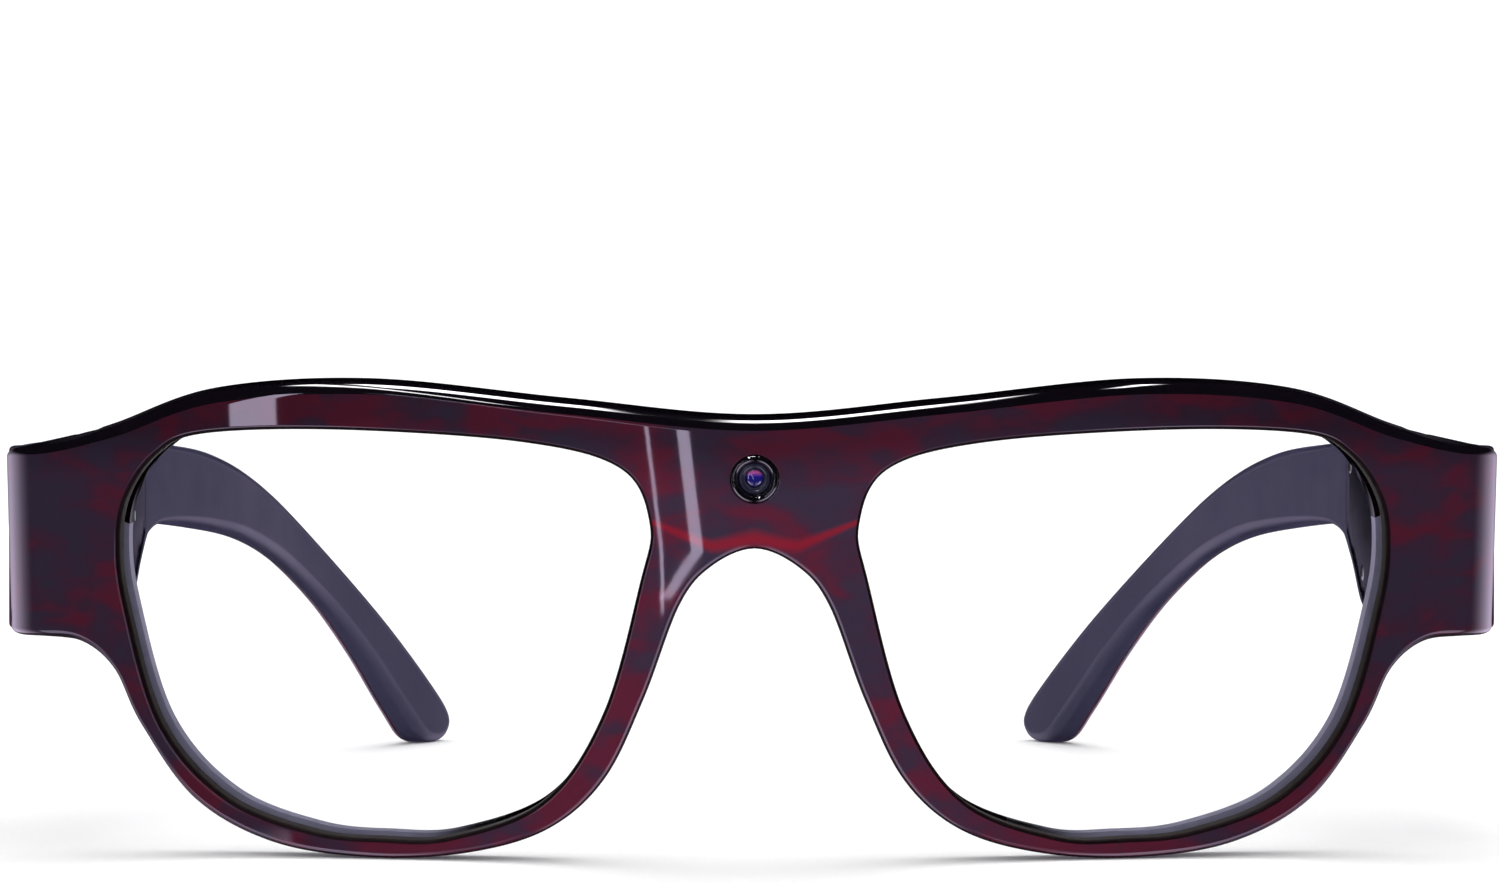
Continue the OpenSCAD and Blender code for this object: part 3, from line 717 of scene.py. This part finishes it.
def build_materials():
    marbled("frame_face", (0.037, 0.025, 0.048), (0.048, 0.020, 0.042), (0.092, 0.014, 0.032), 0.02, True)
    marbled("temple_outer", (0.020, 0.015, 0.026), (0.030, 0.013, 0.024), (0.055, 0.011, 0.021), 0.035, False)
    clear_glass("lens", 1.06, (0.985, 0.99, 1.0), 0.1)
    circuit_board("board")
    for row in FINISHES:
        plain_finish(*row)
    # painted shade on the lit wall towards the nose
    paint_shade_inwards("rim_wall_painted_light", 0.0265, 0.034)


def dress(piece, *names):
    """Gives the piece these materials; its faces keep their numbers."""
    mesh = piece.data
    marks = read(mesh.polygons, "material_index", np.int32)
    mesh.materials.clear()
    for n in names:
        mesh.materials.append(MATERIALS[n])
    mesh.polygons.foreach_set("material_index", np.minimum(marks, len(names) - 1))


def finish_piece(piece, body, slot, *nodes):
    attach(piece, body)
    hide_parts(*nodes)


# ---- front frame
def front_outline():
    """The edge of the face and the matching edge of the back, as four segments each, counter-clockwise."""
    steps = 12
    half = BROW + LOWER
    whole = curve(half + [[-x, v] for x, v in half[-2:0:-1]], steps, closed=True)
    top = whole[:(len(BROW) - 1) * steps + 1]
    low = whole[len(BROW) * steps:(len(half) - 1) * steps + 1][::-1]

    def top_at(x):
        return np.interp(np.abs(x), top[:, 0], top[:, 1])

    def low_at(x):
        return np.interp(np.abs(x), low[:, 0], low[:, 1])

    def to_face(line, end_s, end_v, spacing):
        line = line[line[:, 0] < HALF]
        s = face_length(line[:, 0])
        x, y, _ = face_plan(s)
        v = np.where(x > CAP_REACH_X, np.minimum(line[:, 1], end_cap(x, y)), line[:, 1])
        kept = np.column_stack([s, v])[s < end_s - 0.1]
        return spaced(np.vstack([kept, [end_s, end_v]]), spacing)

    v0 = float(low_at(HALF))
    v1 = min(float(top_at(HALF)), float(end_cap(HALF, seam_y(CAP_FACE_V))))
    s1, s0 = float(seam_length(np.array(v1))), float(seam_length(np.array(v0)))
    upper = to_face(top, s1, v1, 0.75)
    lower = to_face(low, s0, v0, 0.6)
    vs = np.linspace(v0, v1, 25)
    seam = np.column_stack([seam_length(vs), vs])
    flip = np.array([-1, 1])
    face = [seam, np.vstack([upper[::-1], upper[1:] * flip]), seam[::-1] * flip,
            np.vstack([lower[::-1] * flip, lower[1:]])]

    # Past from_x the back runs out to its own seam, which is nearer the middle than that of the face.
    from_x = 62.0
    from_s, from_q = float(face_length(from_x)), BACK_R * math.asin(from_x / BACK_R)

    def to_back(line, end_s, end_v, height):
        x = np.abs(face_plan(line[:, 0])[0])
        end_q = BACK_S + float(seam_y(end_v)) - BACK_Y
        share = (np.abs(line[:, 0]) - from_s) / (end_s - from_s)
        q = np.where(x <= from_x, BACK_R * np.arcsin(np.minimum(x, from_x) / BACK_R),
                     from_q + share * (end_q - from_q))
        back_x, back_y = back_plan(q)
        cap = np.where(np.abs(back_x) > CAP_REACH_X, end_cap(back_x, back_y), np.inf)
        v = np.where(x <= from_x, line[:, 1], np.minimum(height(back_x), cap))
        return np.column_stack([np.sign(line[:, 0]) * q, v])

    u0 = float(low_at(TEMPLE_IN))
    u1 = min(float(top_at(TEMPLE_IN)), float(end_cap(TEMPLE_IN, seam_y(CAP_BACK_V))))
    us = u0 + (vs - v0) * (u1 - u0) / (v1 - v0)
    back_seam = np.column_stack([BACK_S + seam_y(us) - BACK_Y, us])
    back = [back_seam, to_back(face[1], s1, u1, top_at), back_seam[::-1] * flip,
            to_back(face[3], s0, u0, low_at)]
    return face, back


def lens_outline():
    """The outline of a lens opening, and the unit vectors away from its middle."""
    uv = spaced(curve(OPENING, 12, closed=True), 0.6, closed=True)
    away = uv - [0, LENS_MID]
    return uv, away / np.linalg.norm(away, axis=1)[:, None]


def opening_wall(shell, side):
    """The wall of one lens opening with its groove. Returns the two bounds for the sheets."""
    uv, away = lens_outline()
    if side > 0:
        uv, away = uv[::-1], away[::-1]
    top = opening_point(side, uv, 0)
    plain = opening_point(side, uv, RIM)
    bulge = pad_bulge(plain[:, 0], uv[:, 1])
    bottom = plain + np.column_stack([0 * bulge, bulge, 0 * bulge])
    face = np.column_stack([WRAP * np.arcsin(top[:, 0] / WRAP), uv[:, 1]])
    back = np.column_stack([BACK_R * np.arcsin(plain[:, 0] / BACK_R), uv[:, 1]])
    top_r = 0.5
    bottom_r = 0.5 + 0.55 * smoothstep(0.4, 2.0, bulge)
    face_in = face - left_normals(face, True) * top_r
    back_in = back - left_normals(back, True) * bottom_r[:, None]
    front_of_lens, back_of_lens = LENS_FRONT - 0.05, LENS_BACK + 0.05
    groove = [opening_point(side, uv + away * depth, behind)
              for depth, behind in ((0, front_of_lens), (GROOVE, front_of_lens),
                                    (GROOVE, back_of_lens), (0, back_of_lens))]
    rings = rounded_rings(top, face_point(face_in), bottom, back_point(back_in), top_r, bottom_r, 5, groove)
    # Before the groove the wall takes painted shade, a near-black that hardly reflects; behind it, painted
    # light. At the top and towards the nose it is all dark: painted shade, then the black edge finish.
    marks = [FACE] + [PAINTED_SHADE] * 5 + [WALL] * (len(rings) - 7)
    shaded = (uv[:, 1] > 32) | (uv[:, 0] < -11)
    for strip in range(1, len(marks)):
        marks[strip] = np.where(shaded, PAINTED_SHADE if strip < 9 else EDGE, marks[strip])
    first, last = shell.loops(rings, marks)
    return (face_in, first), (back_in, last)


def edge_mark(strip, part):
    """The finish of one strip round the outer edge. The colour of the face rolls over onto its start. Along
    the lower edge the next strips take painted shade.
    """
    if strip < (1 if part == 1 else 3):
        return FACE
    return PAINTED_SHADE if part == 3 and strip < 7 else EDGE


def face_normals(co):
    """Which points lie on the face, and its normals there."""
    x, y = row_to_front(co)
    past = np.abs(x) - HALF + CORNER_R
    arc = np.abs(x) < CORNER_X + 0.01
    flat = ~arc & (y > CORNER_Y)
    radius = np.where(arc, np.hypot(x, y - WRAP), np.hypot(past, y - CORNER_Y))
    on = np.abs(radius - np.where(arc, WRAP, CORNER_R)) < ON_SURFACE
    on = np.where(flat, np.abs(np.abs(x) - HALF) < ON_SURFACE, on)
    nx = np.where(arc, x / WRAP, np.sign(x) * past / CORNER_R)
    nx = np.where(flat, np.sign(x), np.clip(nx, -1, 1))
    return on, normal_to_row(nx, -np.sqrt(1 - nx ** 2))


def camera_hole(shell):
    """A round recess in the face. Returns its bound for the sheet."""
    lip, hole = (disc(0, CAMERA_V, 0, r, 56)[::-1, :2] for r in (CAMERA_LIP_R, CAMERA_HOLE_R))
    rim = [face_point(lip), face_point(hole) + [0, 0.05, 0], face_point(hole) + [0, 1.2, 0]]
    first, last = shell.loops(rim, [FACE, EDGE])
    shell.cap(last, EDGE)
    return lip, first


def build_front():
    shell = Shell(front_to_row)
    face, back = front_outline()
    loop = np.vstack([p[:-1] for p in face])
    back_loop = np.vstack([p[:-1] for p in back])
    brow_r = 1.35 - 0.7 * smoothstep(60, 74, np.abs(face[1][:, 0]))
    nose = smoothstep(19, 9, np.abs(face[3][:, 0])) * smoothstep(8, 14, face[3][:, 1])
    # The radii of the seam, the brow, the other seam and the lower edge.
    face_edge = inset(face, [0.22, brow_r, 0.22, 0.7])
    back_edge = inset(back, [0.3, 0.7, 0.3, 0.6 + 0.6 * nose])
    radii = [np.linalg.norm(edge, axis=1) for edge in (face_edge, back_edge)]
    rings = rounded_rings(face_point(loop), face_point(loop + face_edge), back_point(back_loop),
                          back_point(back_loop + back_edge), *radii, 7)
    parts = np.repeat(np.arange(4), [len(p) - 1 for p in face])
    first, last = shell.loops(rings, [[edge_mark(k, part) for part in parts] for k in range(len(rings) - 1)])
    sides = [opening_wall(shell, side) for side in (-1, 1)]
    face_bounds = [(loop + face_edge, first)] + [s[0] for s in sides] + [camera_hole(shell)]
    shell.sheet(face_bounds, face_point, 1.1, FACE)
    crease_v = np.linspace(21.4, 38.8, 20)
    creases = [np.column_stack([np.full(20, side * BACK_S), crease_v]) for side in (-1, 1)]
    shell.sheet([(back_loop + back_edge, last)] + [s[1] for s in sides], back_point, 1.1, BACK, creases)
    front = shell.build("frame_front")
    dress(front, "frame_face", "frame_edge", "frame_back", "rim_wall_painted_light", "rim_shade")
    cutters = [brow_cover_shell("cover_recess", RIM - 1, RIM + 6, 0.06)]
    for side in (-1, 1):
        cutters += hinge_room(side, temple_to_row(side), (12.6, 18.5))
    cut(front, cutters)
    settle_normals(front, [face_normals])
    finish_piece(front, "front", "frame", "front_frame")


def hinge_room(side, place, leaf_d):
    """What is cut away for a hinge: a round for the knuckles and a slot for one leaf."""
    ends = [disc(HINGE_X, HINGE_D, z, HINGE_ROOM_R) for z in KNUCKLE_Z]
    return [block("knuckle_room_%d" % side, place, *ends),
            box_block("leaf_room_%d" % side, place, LEAF_X, leaf_d, LEAF_Z)]


def brow_cover_shell(name, behind0, behind1, grow, hump=0.0):
    """The slab behind the brow, between two distances behind the face."""
    half = np.vstack([curve(COVER_UPPER, 8), curve(COVER_LOWER, 6)])
    whole = np.vstack([half, half[-2:0:-1] * [-1, 1]])
    loop = spaced(whole, 0.6, closed=True)[::-1]
    loop = loop - left_normals(loop, True) * grow

    def sheet_at(behind, rise):
        def to_3d(p):
            y = depth_at(p[:, 0], behind)
            edge_x = smoothstep(8.5, 7.6, np.abs(p[:, 0]))
            edge_v = smoothstep(33.9, 34.7, p[:, 1]) * smoothstep(42.2, 41.4, p[:, 1])
            return np.column_stack([p[:, 0], y + rise * edge_x * edge_v, p[:, 1]])
        return to_3d

    shell = Shell(front_to_row)
    edge = left_normals(loop, True)
    near, far = sheet_at(behind0, 0), sheet_at(behind1, hump)
    shell.slab(loop, near, far, edge * 0.05, edge * (0.22 if hump else 0.05), 4, (1.4, 0.7 if hump else 1.4),
               (EDGE, EDGE, EDGE))
    return shell.build(name)


def build_brow_cover():
    cover = brow_cover_shell("brow_back_cover", RIM - 1, RIM + 0.4, 0.0, 2.0)
    dress(cover, "frame_back", "frame_back")
    settle_normals(cover)
    finish_piece(cover, "front", "frame_back", "brow_cover")


# ---- lenses
def lens_surface(radius, sign):
    """The test for one face of a lens."""
    def test(co):
        x, y = row_to_front(co)
        on = np.abs(np.hypot(x, y - WRAP) - radius) < ON_SURFACE
        return on, sign * normal_to_row(x / radius, -np.sqrt(1 - (x / radius) ** 2))
    return test


def build_lens(side, node):
    uv, away = lens_outline()
    uv = (uv + away * (GROOVE - PLAY))[::-1]
    edge = left_normals(uv, True) * 0.12

    def at(behind):
        return lambda p: opening_point(side, p, behind)

    shell = Shell(front_to_row)
    shell.slab(uv, at(LENS_FRONT), at(LENS_BACK), edge, edge, 3, (1.6, 1.6), (FACE, FACE, FACE))
    piece = shell.build(node.replace("lens", "lens_glass"))
    dress(piece, "lens")
    settle_normals(piece, [lens_surface(WRAP - LENS_FRONT, 1), lens_surface(WRAP - LENS_BACK, -1)])
    finish_piece(piece, "front", "lens", node)


# ---- temples
INNER_LINE = np.vstack([[[66.8, 10]], curve(INNER_FACE, 10)])
OUTER_LINE = curve(OUTER_FACE, 10)


def across_at(line, d):
    return np.interp(d, line[:, 1], line[:, 0])


def on_line(line):
    """Takes points of the side view onto one long face of a temple."""
    return lambda p: np.column_stack([across_at(line, p[:, 0]), p])


def temple_surface(line, side, sign):
    """The test for one long face of a temple."""
    slope = np.gradient(line[:, 0], line[:, 1])

    def test(co):
        d = co[:, 1] / MM + CENTRE_Y
        n = np.column_stack([np.full(len(d), float(side)), -np.interp(d, line[:, 1], slope), 0 * d])
        n *= sign / np.linalg.norm(n, axis=1)[:, None]
        return np.abs(np.abs(co[:, 0]) / MM - across_at(line, d)) < ON_SURFACE, n
    return test


def button_bore(name, place, y):
    """A slot up through the underside of the right temple."""
    x = abs(sum(c[0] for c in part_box("record_button"))) / 2 / MM
    a = np.linspace(-math.pi / 2, math.pi / 2, 13)
    end = np.column_stack([BORE_R * np.sin(a), BORE_REACH + BORE_R * np.cos(a)])
    slot = np.vstack([end, -end]) + [x, y]
    return block(name, place, *(np.column_stack([slot, np.full(len(slot), z)]) for z in UNDERSIDE_Z))


def socket_port(place):
    low, high = (np.array(c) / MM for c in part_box("usb_socket"))
    x = (-high[0] - PLAY, -low[0] + PLAY)
    y = (low[1] + CENTRE_Y - PLAY, high[1] + CENTRE_Y + PLAY)
    return box_block("port", place, x, y, UNDERSIDE_Z)


def build_temple(side, word, body):
    place = temple_to_row(side)
    corner = [TEMPLE_D, TEMPLE_LOW]
    under = spaced(np.array([TEMPLE_SIDE[-1], corner], float), 0.8)
    lower = np.vstack([spaced(curve(TEMPLE_SIDE, 12), 0.7), under[1:]])
    butt = spaced(np.array([corner, TEMPLE_SIDE[0]], float), 0.8)
    segments = [lower[::-1], butt[::-1]]
    loop = np.vstack([p[:-1] for p in segments])
    depth = segments[0][:, 0]
    outer_r = 1.45 - 0.25 * smoothstep(90, 120, depth)
    inner_r = 0.55 + 0.65 * smoothstep(58, 95, depth)
    taper = 0.35 + 0.65 * smoothstep(17.7, 22, depth)
    edges = [inset(segments, [r * taper, 0.25]) for r in (outer_r, inner_r)]
    shell = Shell(place)
    shell.slab(loop, on_line(OUTER_LINE), on_line(INNER_LINE), *edges, 6, (1.3, 1.3), (FACE, EDGE, BACK))
    piece = shell.build("temple_arm_" + word)
    dress(piece, "temple_outer", "temple_wall", "temple_inner")
    recess = (np.array(COVER_SIDE) - COVER_MID) * RECESS_SCALE + COVER_MID
    cutters = [side_block("recess_%d" % side, place, recess, RECESS_X),
               side_block("bay_%d" % side, place, BAY, BAY_X)]
    cutters += hinge_room(side, place, (17, 24.25))
    if side < 0:
        cutters += [button_bore("bore_%d" % k, place, y) for k, y in enumerate(BUTTON_Y)]
        cutters.append(socket_port(place))
    cut(piece, cutters)
    settle_normals(piece, [temple_surface(OUTER_LINE, side, 1), temple_surface(INNER_LINE, side, -1)])
    finish_piece(piece, body, "temple", "temple_shell_" + word)


def build_cover(side, word, body):
    """The inner cover: a plate with softened edges, screw pockets and, on the right, two pinholes."""
    node = "temple_cover_" + word
    place = temple_to_row(side)
    loop = spaced(np.array(COVER_SIDE, float), 0.5, closed=True)
    edge = -left_normals(loop, True)
    low_x, high_x = sorted(abs(c[0]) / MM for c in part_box(node))

    def at(x):
        return lambda p: np.column_stack([np.full(len(p), x), p])

    shell = Shell(place)
    shell.slab(loop, at(low_x), at(high_x), edge * 0.16, edge * 0.05, 4, (1.5, 3), (FACE, FACE, FACE))
    piece = shell.build("inner_cover_" + word)
    dress(piece, "cover_black", "frame_edge")
    drills = []
    for p in BOSSES:
        drills += [(p, POCKET_R, low_x + POCKET_DEPTH), (p, SHANK_R, high_x + 1)]
    if side < 0:
        drills += [(p, r, high_x + 1) for p, r in PINHOLES]
    cutters = []
    for k, (p, r, end_x) in enumerate(drills):
        ends = [disc(p[0], p[1], x, r, 32)[:, [2, 0, 1]] for x in (low_x - 1, end_x)]
        cutters.append(block("drill_%d" % k, place, *ends))
    cut(piece, cutters)
    settle_normals(piece)
    finish_piece(piece, body, "temple_inside", node)


# ---- turned parts of the camera
def lathe(name, profile, steps=64):
    """Turns (radius, depth) points round the axis of the camera; depths run back from the face."""
    a = np.linspace(0, 2 * math.pi, steps, endpoint=False)
    rings = [np.column_stack([r * np.cos(a), np.full(steps, y), CAMERA_V + r * np.sin(a)])
             for r, y in profile]
    shell = Shell(front_to_row)
    for ids in shell.loops(rings, [FACE] * (len(rings) - 1)):
        shell.cap(ids, FACE)
    return shell.build(name)


def arc_profile(r, y, radius, from_deg, to_deg, count):
    """Points of a round edge, as (radius, depth)."""
    turns = np.radians(np.linspace(from_deg, to_deg, count))
    return [(r + radius * math.cos(t), y - radius * math.sin(t)) for t in turns]


def build_camera():
    ring = [(2.3, 1.15), (2.3, 0.25)] + arc_profile(1.98, 0.07, 0.32, 0, 150, 11)
    ring += [(1.58, 0.22), (1.52, 0.36), (1.52, 1.15)]
    tube = [(1.5, 3.4), (1.5, 0.45)] + arc_profile(1.4, 0.45, 0.1, 0, 90, 4)
    tube += [(1.26, 0.35), (1.22, 0.42), (1.14, 0.46), (1.0, 0.50), (0.93, 0.46), (0.88, 0.40), (0.86, 0.46),
             (0.86, 1.2), (0.5, 1.2), (0.5, 3.4)]
    turns = np.radians(np.linspace(6, 88, 10))
    dome = [(0.85, 1.15), (0.85, 0.68)] + [(0.84 * math.cos(a), 0.66 - 0.24 * math.sin(a)) for a in turns]
    low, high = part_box("camera_lens")
    coated_glass("camera_glass", (low + high) / 2, 0.85 * MM)
    for name, profile, material, angle, slot, node in (
            ("camera_ring", ring + ring[:1], "camera_black", 60, "camera_black", "camera_bezel"),
            ("camera_tube", tube + tube[:1], "barrel", 50, "camera_black", "camera_barrel"),
            ("camera_glass", dome, "camera_glass", 50, "camera_glass", "camera_lens")):
        piece = lathe(name, profile)
        dress(piece, material)
        settle_normals(piece, angle=angle)
        finish_piece(piece, "front", slot, node)


# ---- CAD nodes that stay
# material, slot and nodes
KEPT = [
    ("chip", "camera_black", ["camera_sensor"]),
    ("board", "board", ["camera_board"]),
    ("flex", "flex", ["brow_flex"]),
    ("steel", "hinge_steel", ["hinge_front_right", "hinge_front_left", "hinge_temple_right",
                              "hinge_temple_left"]),
    ("screw", "screw_steel", ["hinge_pins", "hinge_front_screws", "cover_screws_right", "cover_screws_left",
                              "leaf_screws_right", "leaf_screws_left"]),
    ("board", "board", ["main_board"]),
    ("chip", "chip_black", ["processor_chip", "memory_chip"]),
    ("steel", "socket_steel", ["usb_socket"]),
    ("foil", "chip_black", ["tact_switches", "microphone"]),
    ("led", "led", ["status_led"]),
    ("flex", "flex", ["temple_flex_right", "temple_flex_left"]),
    ("button", "button", ["record_button", "power_button"]),
    ("foil", "battery_foil", ["battery"]),
    ("board", "board", ["battery_board"]),
    ("lead", "lead_red", ["battery_leads"]),
]


def keep_node(name, material, slot):
    """Dresses a CAD node and softens its edges."""
    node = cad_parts[name]
    dress(node, material)
    for key in ("custom_normal", "sharp_face", "sharp_edge"):
        if key in node.data.attributes:
            node.data.attributes.remove(node.data.attributes[key])
    node.data.shade_smooth()
    weld = node.modifiers.new("weld", "WELD")
    weld.merge_threshold = 1e-6
    bevel = node.modifiers.new("soft_edges", "BEVEL")
    bevel.width = 0.06 * MM
    bevel.segments = 2
    bevel.limit_method = "ANGLE"
    bevel.angle_limit = math.radians(40)
    bevel.use_clamp_overlap = True
    bevel.harden_normals = False
    even = node.modifiers.new("even_normals", "WEIGHTED_NORMAL")
    even.keep_sharp = True


# ---- studio
def soft_box(tree, x, y, x_range, y_range, soft, strength, colour):
    """A soft-edged rectangle of light in two direction coordinates."""
    total = strength
    for value, (low, high) in ((x, x_range), (y, y_range)):
        for edge, sign in ((low, 1), (high, -1)):
            share = range_node(tree, value, edge - sign * soft, edge + sign * soft)
            total = math_node(tree, "MULTIPLY", share, total)
    return mix_colour(tree, 1.0, total, colour, "MULTIPLY")


def build_world():
    """White all round for soft light; polished surfaces see a dark studio with strip and panel lights."""
    world = bpy.data.worlds.new("studio")
    bpy.context.scene.world = world
    world.use_nodes = True
    world.cycles.sampling_method = "NONE"
    tree = world.node_tree
    coords = tree.nodes.new("ShaderNodeTexCoord").outputs["Generated"]
    x, y, z = components(tree, coords)
    degrees = 180 / math.pi
    ahead = math_node(tree, "MULTIPLY", y, -1.0)
    azimuth = math_node(tree, "MULTIPLY", math_node(tree, "ARCTAN2", x, ahead), degrees)
    height = math_node(tree, "MULTIPLY", math_node(tree, "ARCSINE", z), degrees)
    side = math_node(tree, "ABSOLUTE", azimuth)
    over_x = math_node(tree, "DIVIDE", x, math_node(tree, "MAXIMUM", z, 0.02))
    over_y = math_node(tree, "DIVIDE", y, math_node(tree, "MAXIMUM", z, 0.02))
    # Azimuth for strips that lean, and for one that also turns off sharply below a bend.
    bend = -17.72
    lean = math_node(tree, "MULTIPLY_ADD", math_node(tree, "MAXIMUM", height, bend), 0.5, azimuth)
    lean = math_node(tree, "ADD", lean, 8.45)
    drop = math_node(tree, "MAXIMUM", math_node(tree, "SUBTRACT", bend, height), 0.0)
    bent = math_node(tree, "MULTIPLY_ADD", drop, 3.0, lean)
    lilac, white = (0.86, 0.74, 1.0), (1.0, 0.98, 1.0)
    # across, up, their ranges, softness, strength and colour
    lights = [
        # two strips beside the bridge
        (bent, height, (-3.65, -2.85), (-18.44, 20), 0.04, 9.0, lilac),
        (lean, height, (-5.74, -5.5), (-18.66, 20), 0.04, 9.0, lilac),
        # a patch on the brow and one on the rim below it
        (azimuth, height, (-34.2, -31.0), (-16.6, 20), 0.1, 9.0, lilac),
        (azimuth, height, (-34.2, -31.0), (-24, -21), 0.35, 4.0, lilac),
        # lines along the rounded edge of the brow
        (over_x, over_y, (-0.22, 0.045), (-0.2, 0.3), 0.02, 34.0, white),
        (over_x, over_y, (0.214, 0.26), (-0.2, 0.3), 0.02, 34.0, white),
        (over_x, over_y, (-0.34, -0.285), (-1.6, 0.3), 0.02, 34.0, white),
        # low panels for the walls and rims, and one at each side for the temples
        (side, height, (30, 75), (-75, -30), 3.0, 3.5, lilac),
        (side, height, (7, 40), (-70, -34), 3.0, 1.2, lilac),
        (side, height, (98, 150), (-50, 0), 22.0, 3.4, lilac),
    ]
    studio = (0.0, 0.0, 0.0)
    for light in lights:
        studio = mix_colour(tree, 1.0, studio, soft_box(tree, *light), "ADD")
    path = tree.nodes.new("ShaderNodeLightPath")
    seen = math_node(tree, "MAXIMUM", path.outputs["Is Camera Ray"], path.outputs["Is Transmission Ray"])
    room = mix_colour(tree, seen, (1.0, 1.0, 1.0), (1.2, 1.2, 1.2))
    mirrored = math_node(tree, "MULTIPLY", path.outputs["Is Glossy Ray"], path.outputs["Is Reflection Ray"])
    out = mix_colour(tree, mirrored, room, studio)
    tree.links.new(out, tree.nodes["Background"].inputs["Color"])


def build_floor():
    """A wide sheet whose cells get smaller towards the middle."""
    half_width = 30.0
    cells = 24
    ticks = (np.linspace(-1, 1, cells + 1) ** 3 * half_width).tolist()
    row = cells + 1
    mesh = bpy.data.meshes.new("floor")
    verts = [(a, b, 0.0) for a in ticks for b in ticks]
    starts = [i * row + j for i in range(cells) for j in range(cells)]
    faces = [(k, k + row, k + row + 1, k + 1) for k in starts]
    mesh.from_pydata(verts, [], faces)
    floor = new_object("floor", mesh)
    tree, shader, coords = start_material("floor_paper", {"Roughness": 0.9, "Specular IOR Level": 0.1})
    tone = noise_node(tree, coords, 60, 3)
    tree.links.new(ramp_node(tree, tone, [(0.3, (0.93, 0.93, 0.935)), (0.7, (0.95, 0.95, 0.955))]),
                   shader.inputs["Base Color"])
    mesh.materials.append(MATERIALS["floor_paper"])
    floor.visible_glossy = False


def build_lights():
    sun = bpy.data.lights.new("overhead", "SUN")
    sun.energy, sun.angle = 1.1, math.radians(50)
    lamp = new_object("overhead", sun)
    lamp.rotation_euler = (math.radians(-12), math.radians(6), 0)
    lamp.visible_glossy = False


def build_view():
    camera = bpy.data.cameras.new("view")
    camera.sensor_width, camera.lens = 36.0, 87.5
    camera.clip_start, camera.clip_end = 0.01, 100
    eye = new_object("view", camera)
    camera.shift_x = 0.0368
    eye.location = (-0.0057, -0.42246, 0.0407)
    eye.rotation_euler = (math.radians(90), 0, 0)
    bpy.context.scene.camera = eye
    settings = bpy.context.scene.view_settings
    settings.view_transform, settings.look, settings.exposure, settings.gamma = "Standard", "None", 0.0, 1.0


build_view()
build_world()
build_materials()
build_floor()
build_lights()
build_front()
build_brow_cover()
for side, word in ((-1, "right"), (1, "left")):
    body = word + "_temple"
    build_lens(side, "lens_" + word)
    build_temple(side, word, body)
    build_cover(side, word, body)
build_camera()
for material, slot, nodes in KEPT:
    for name in nodes:
        keep_node(name, material, slot)
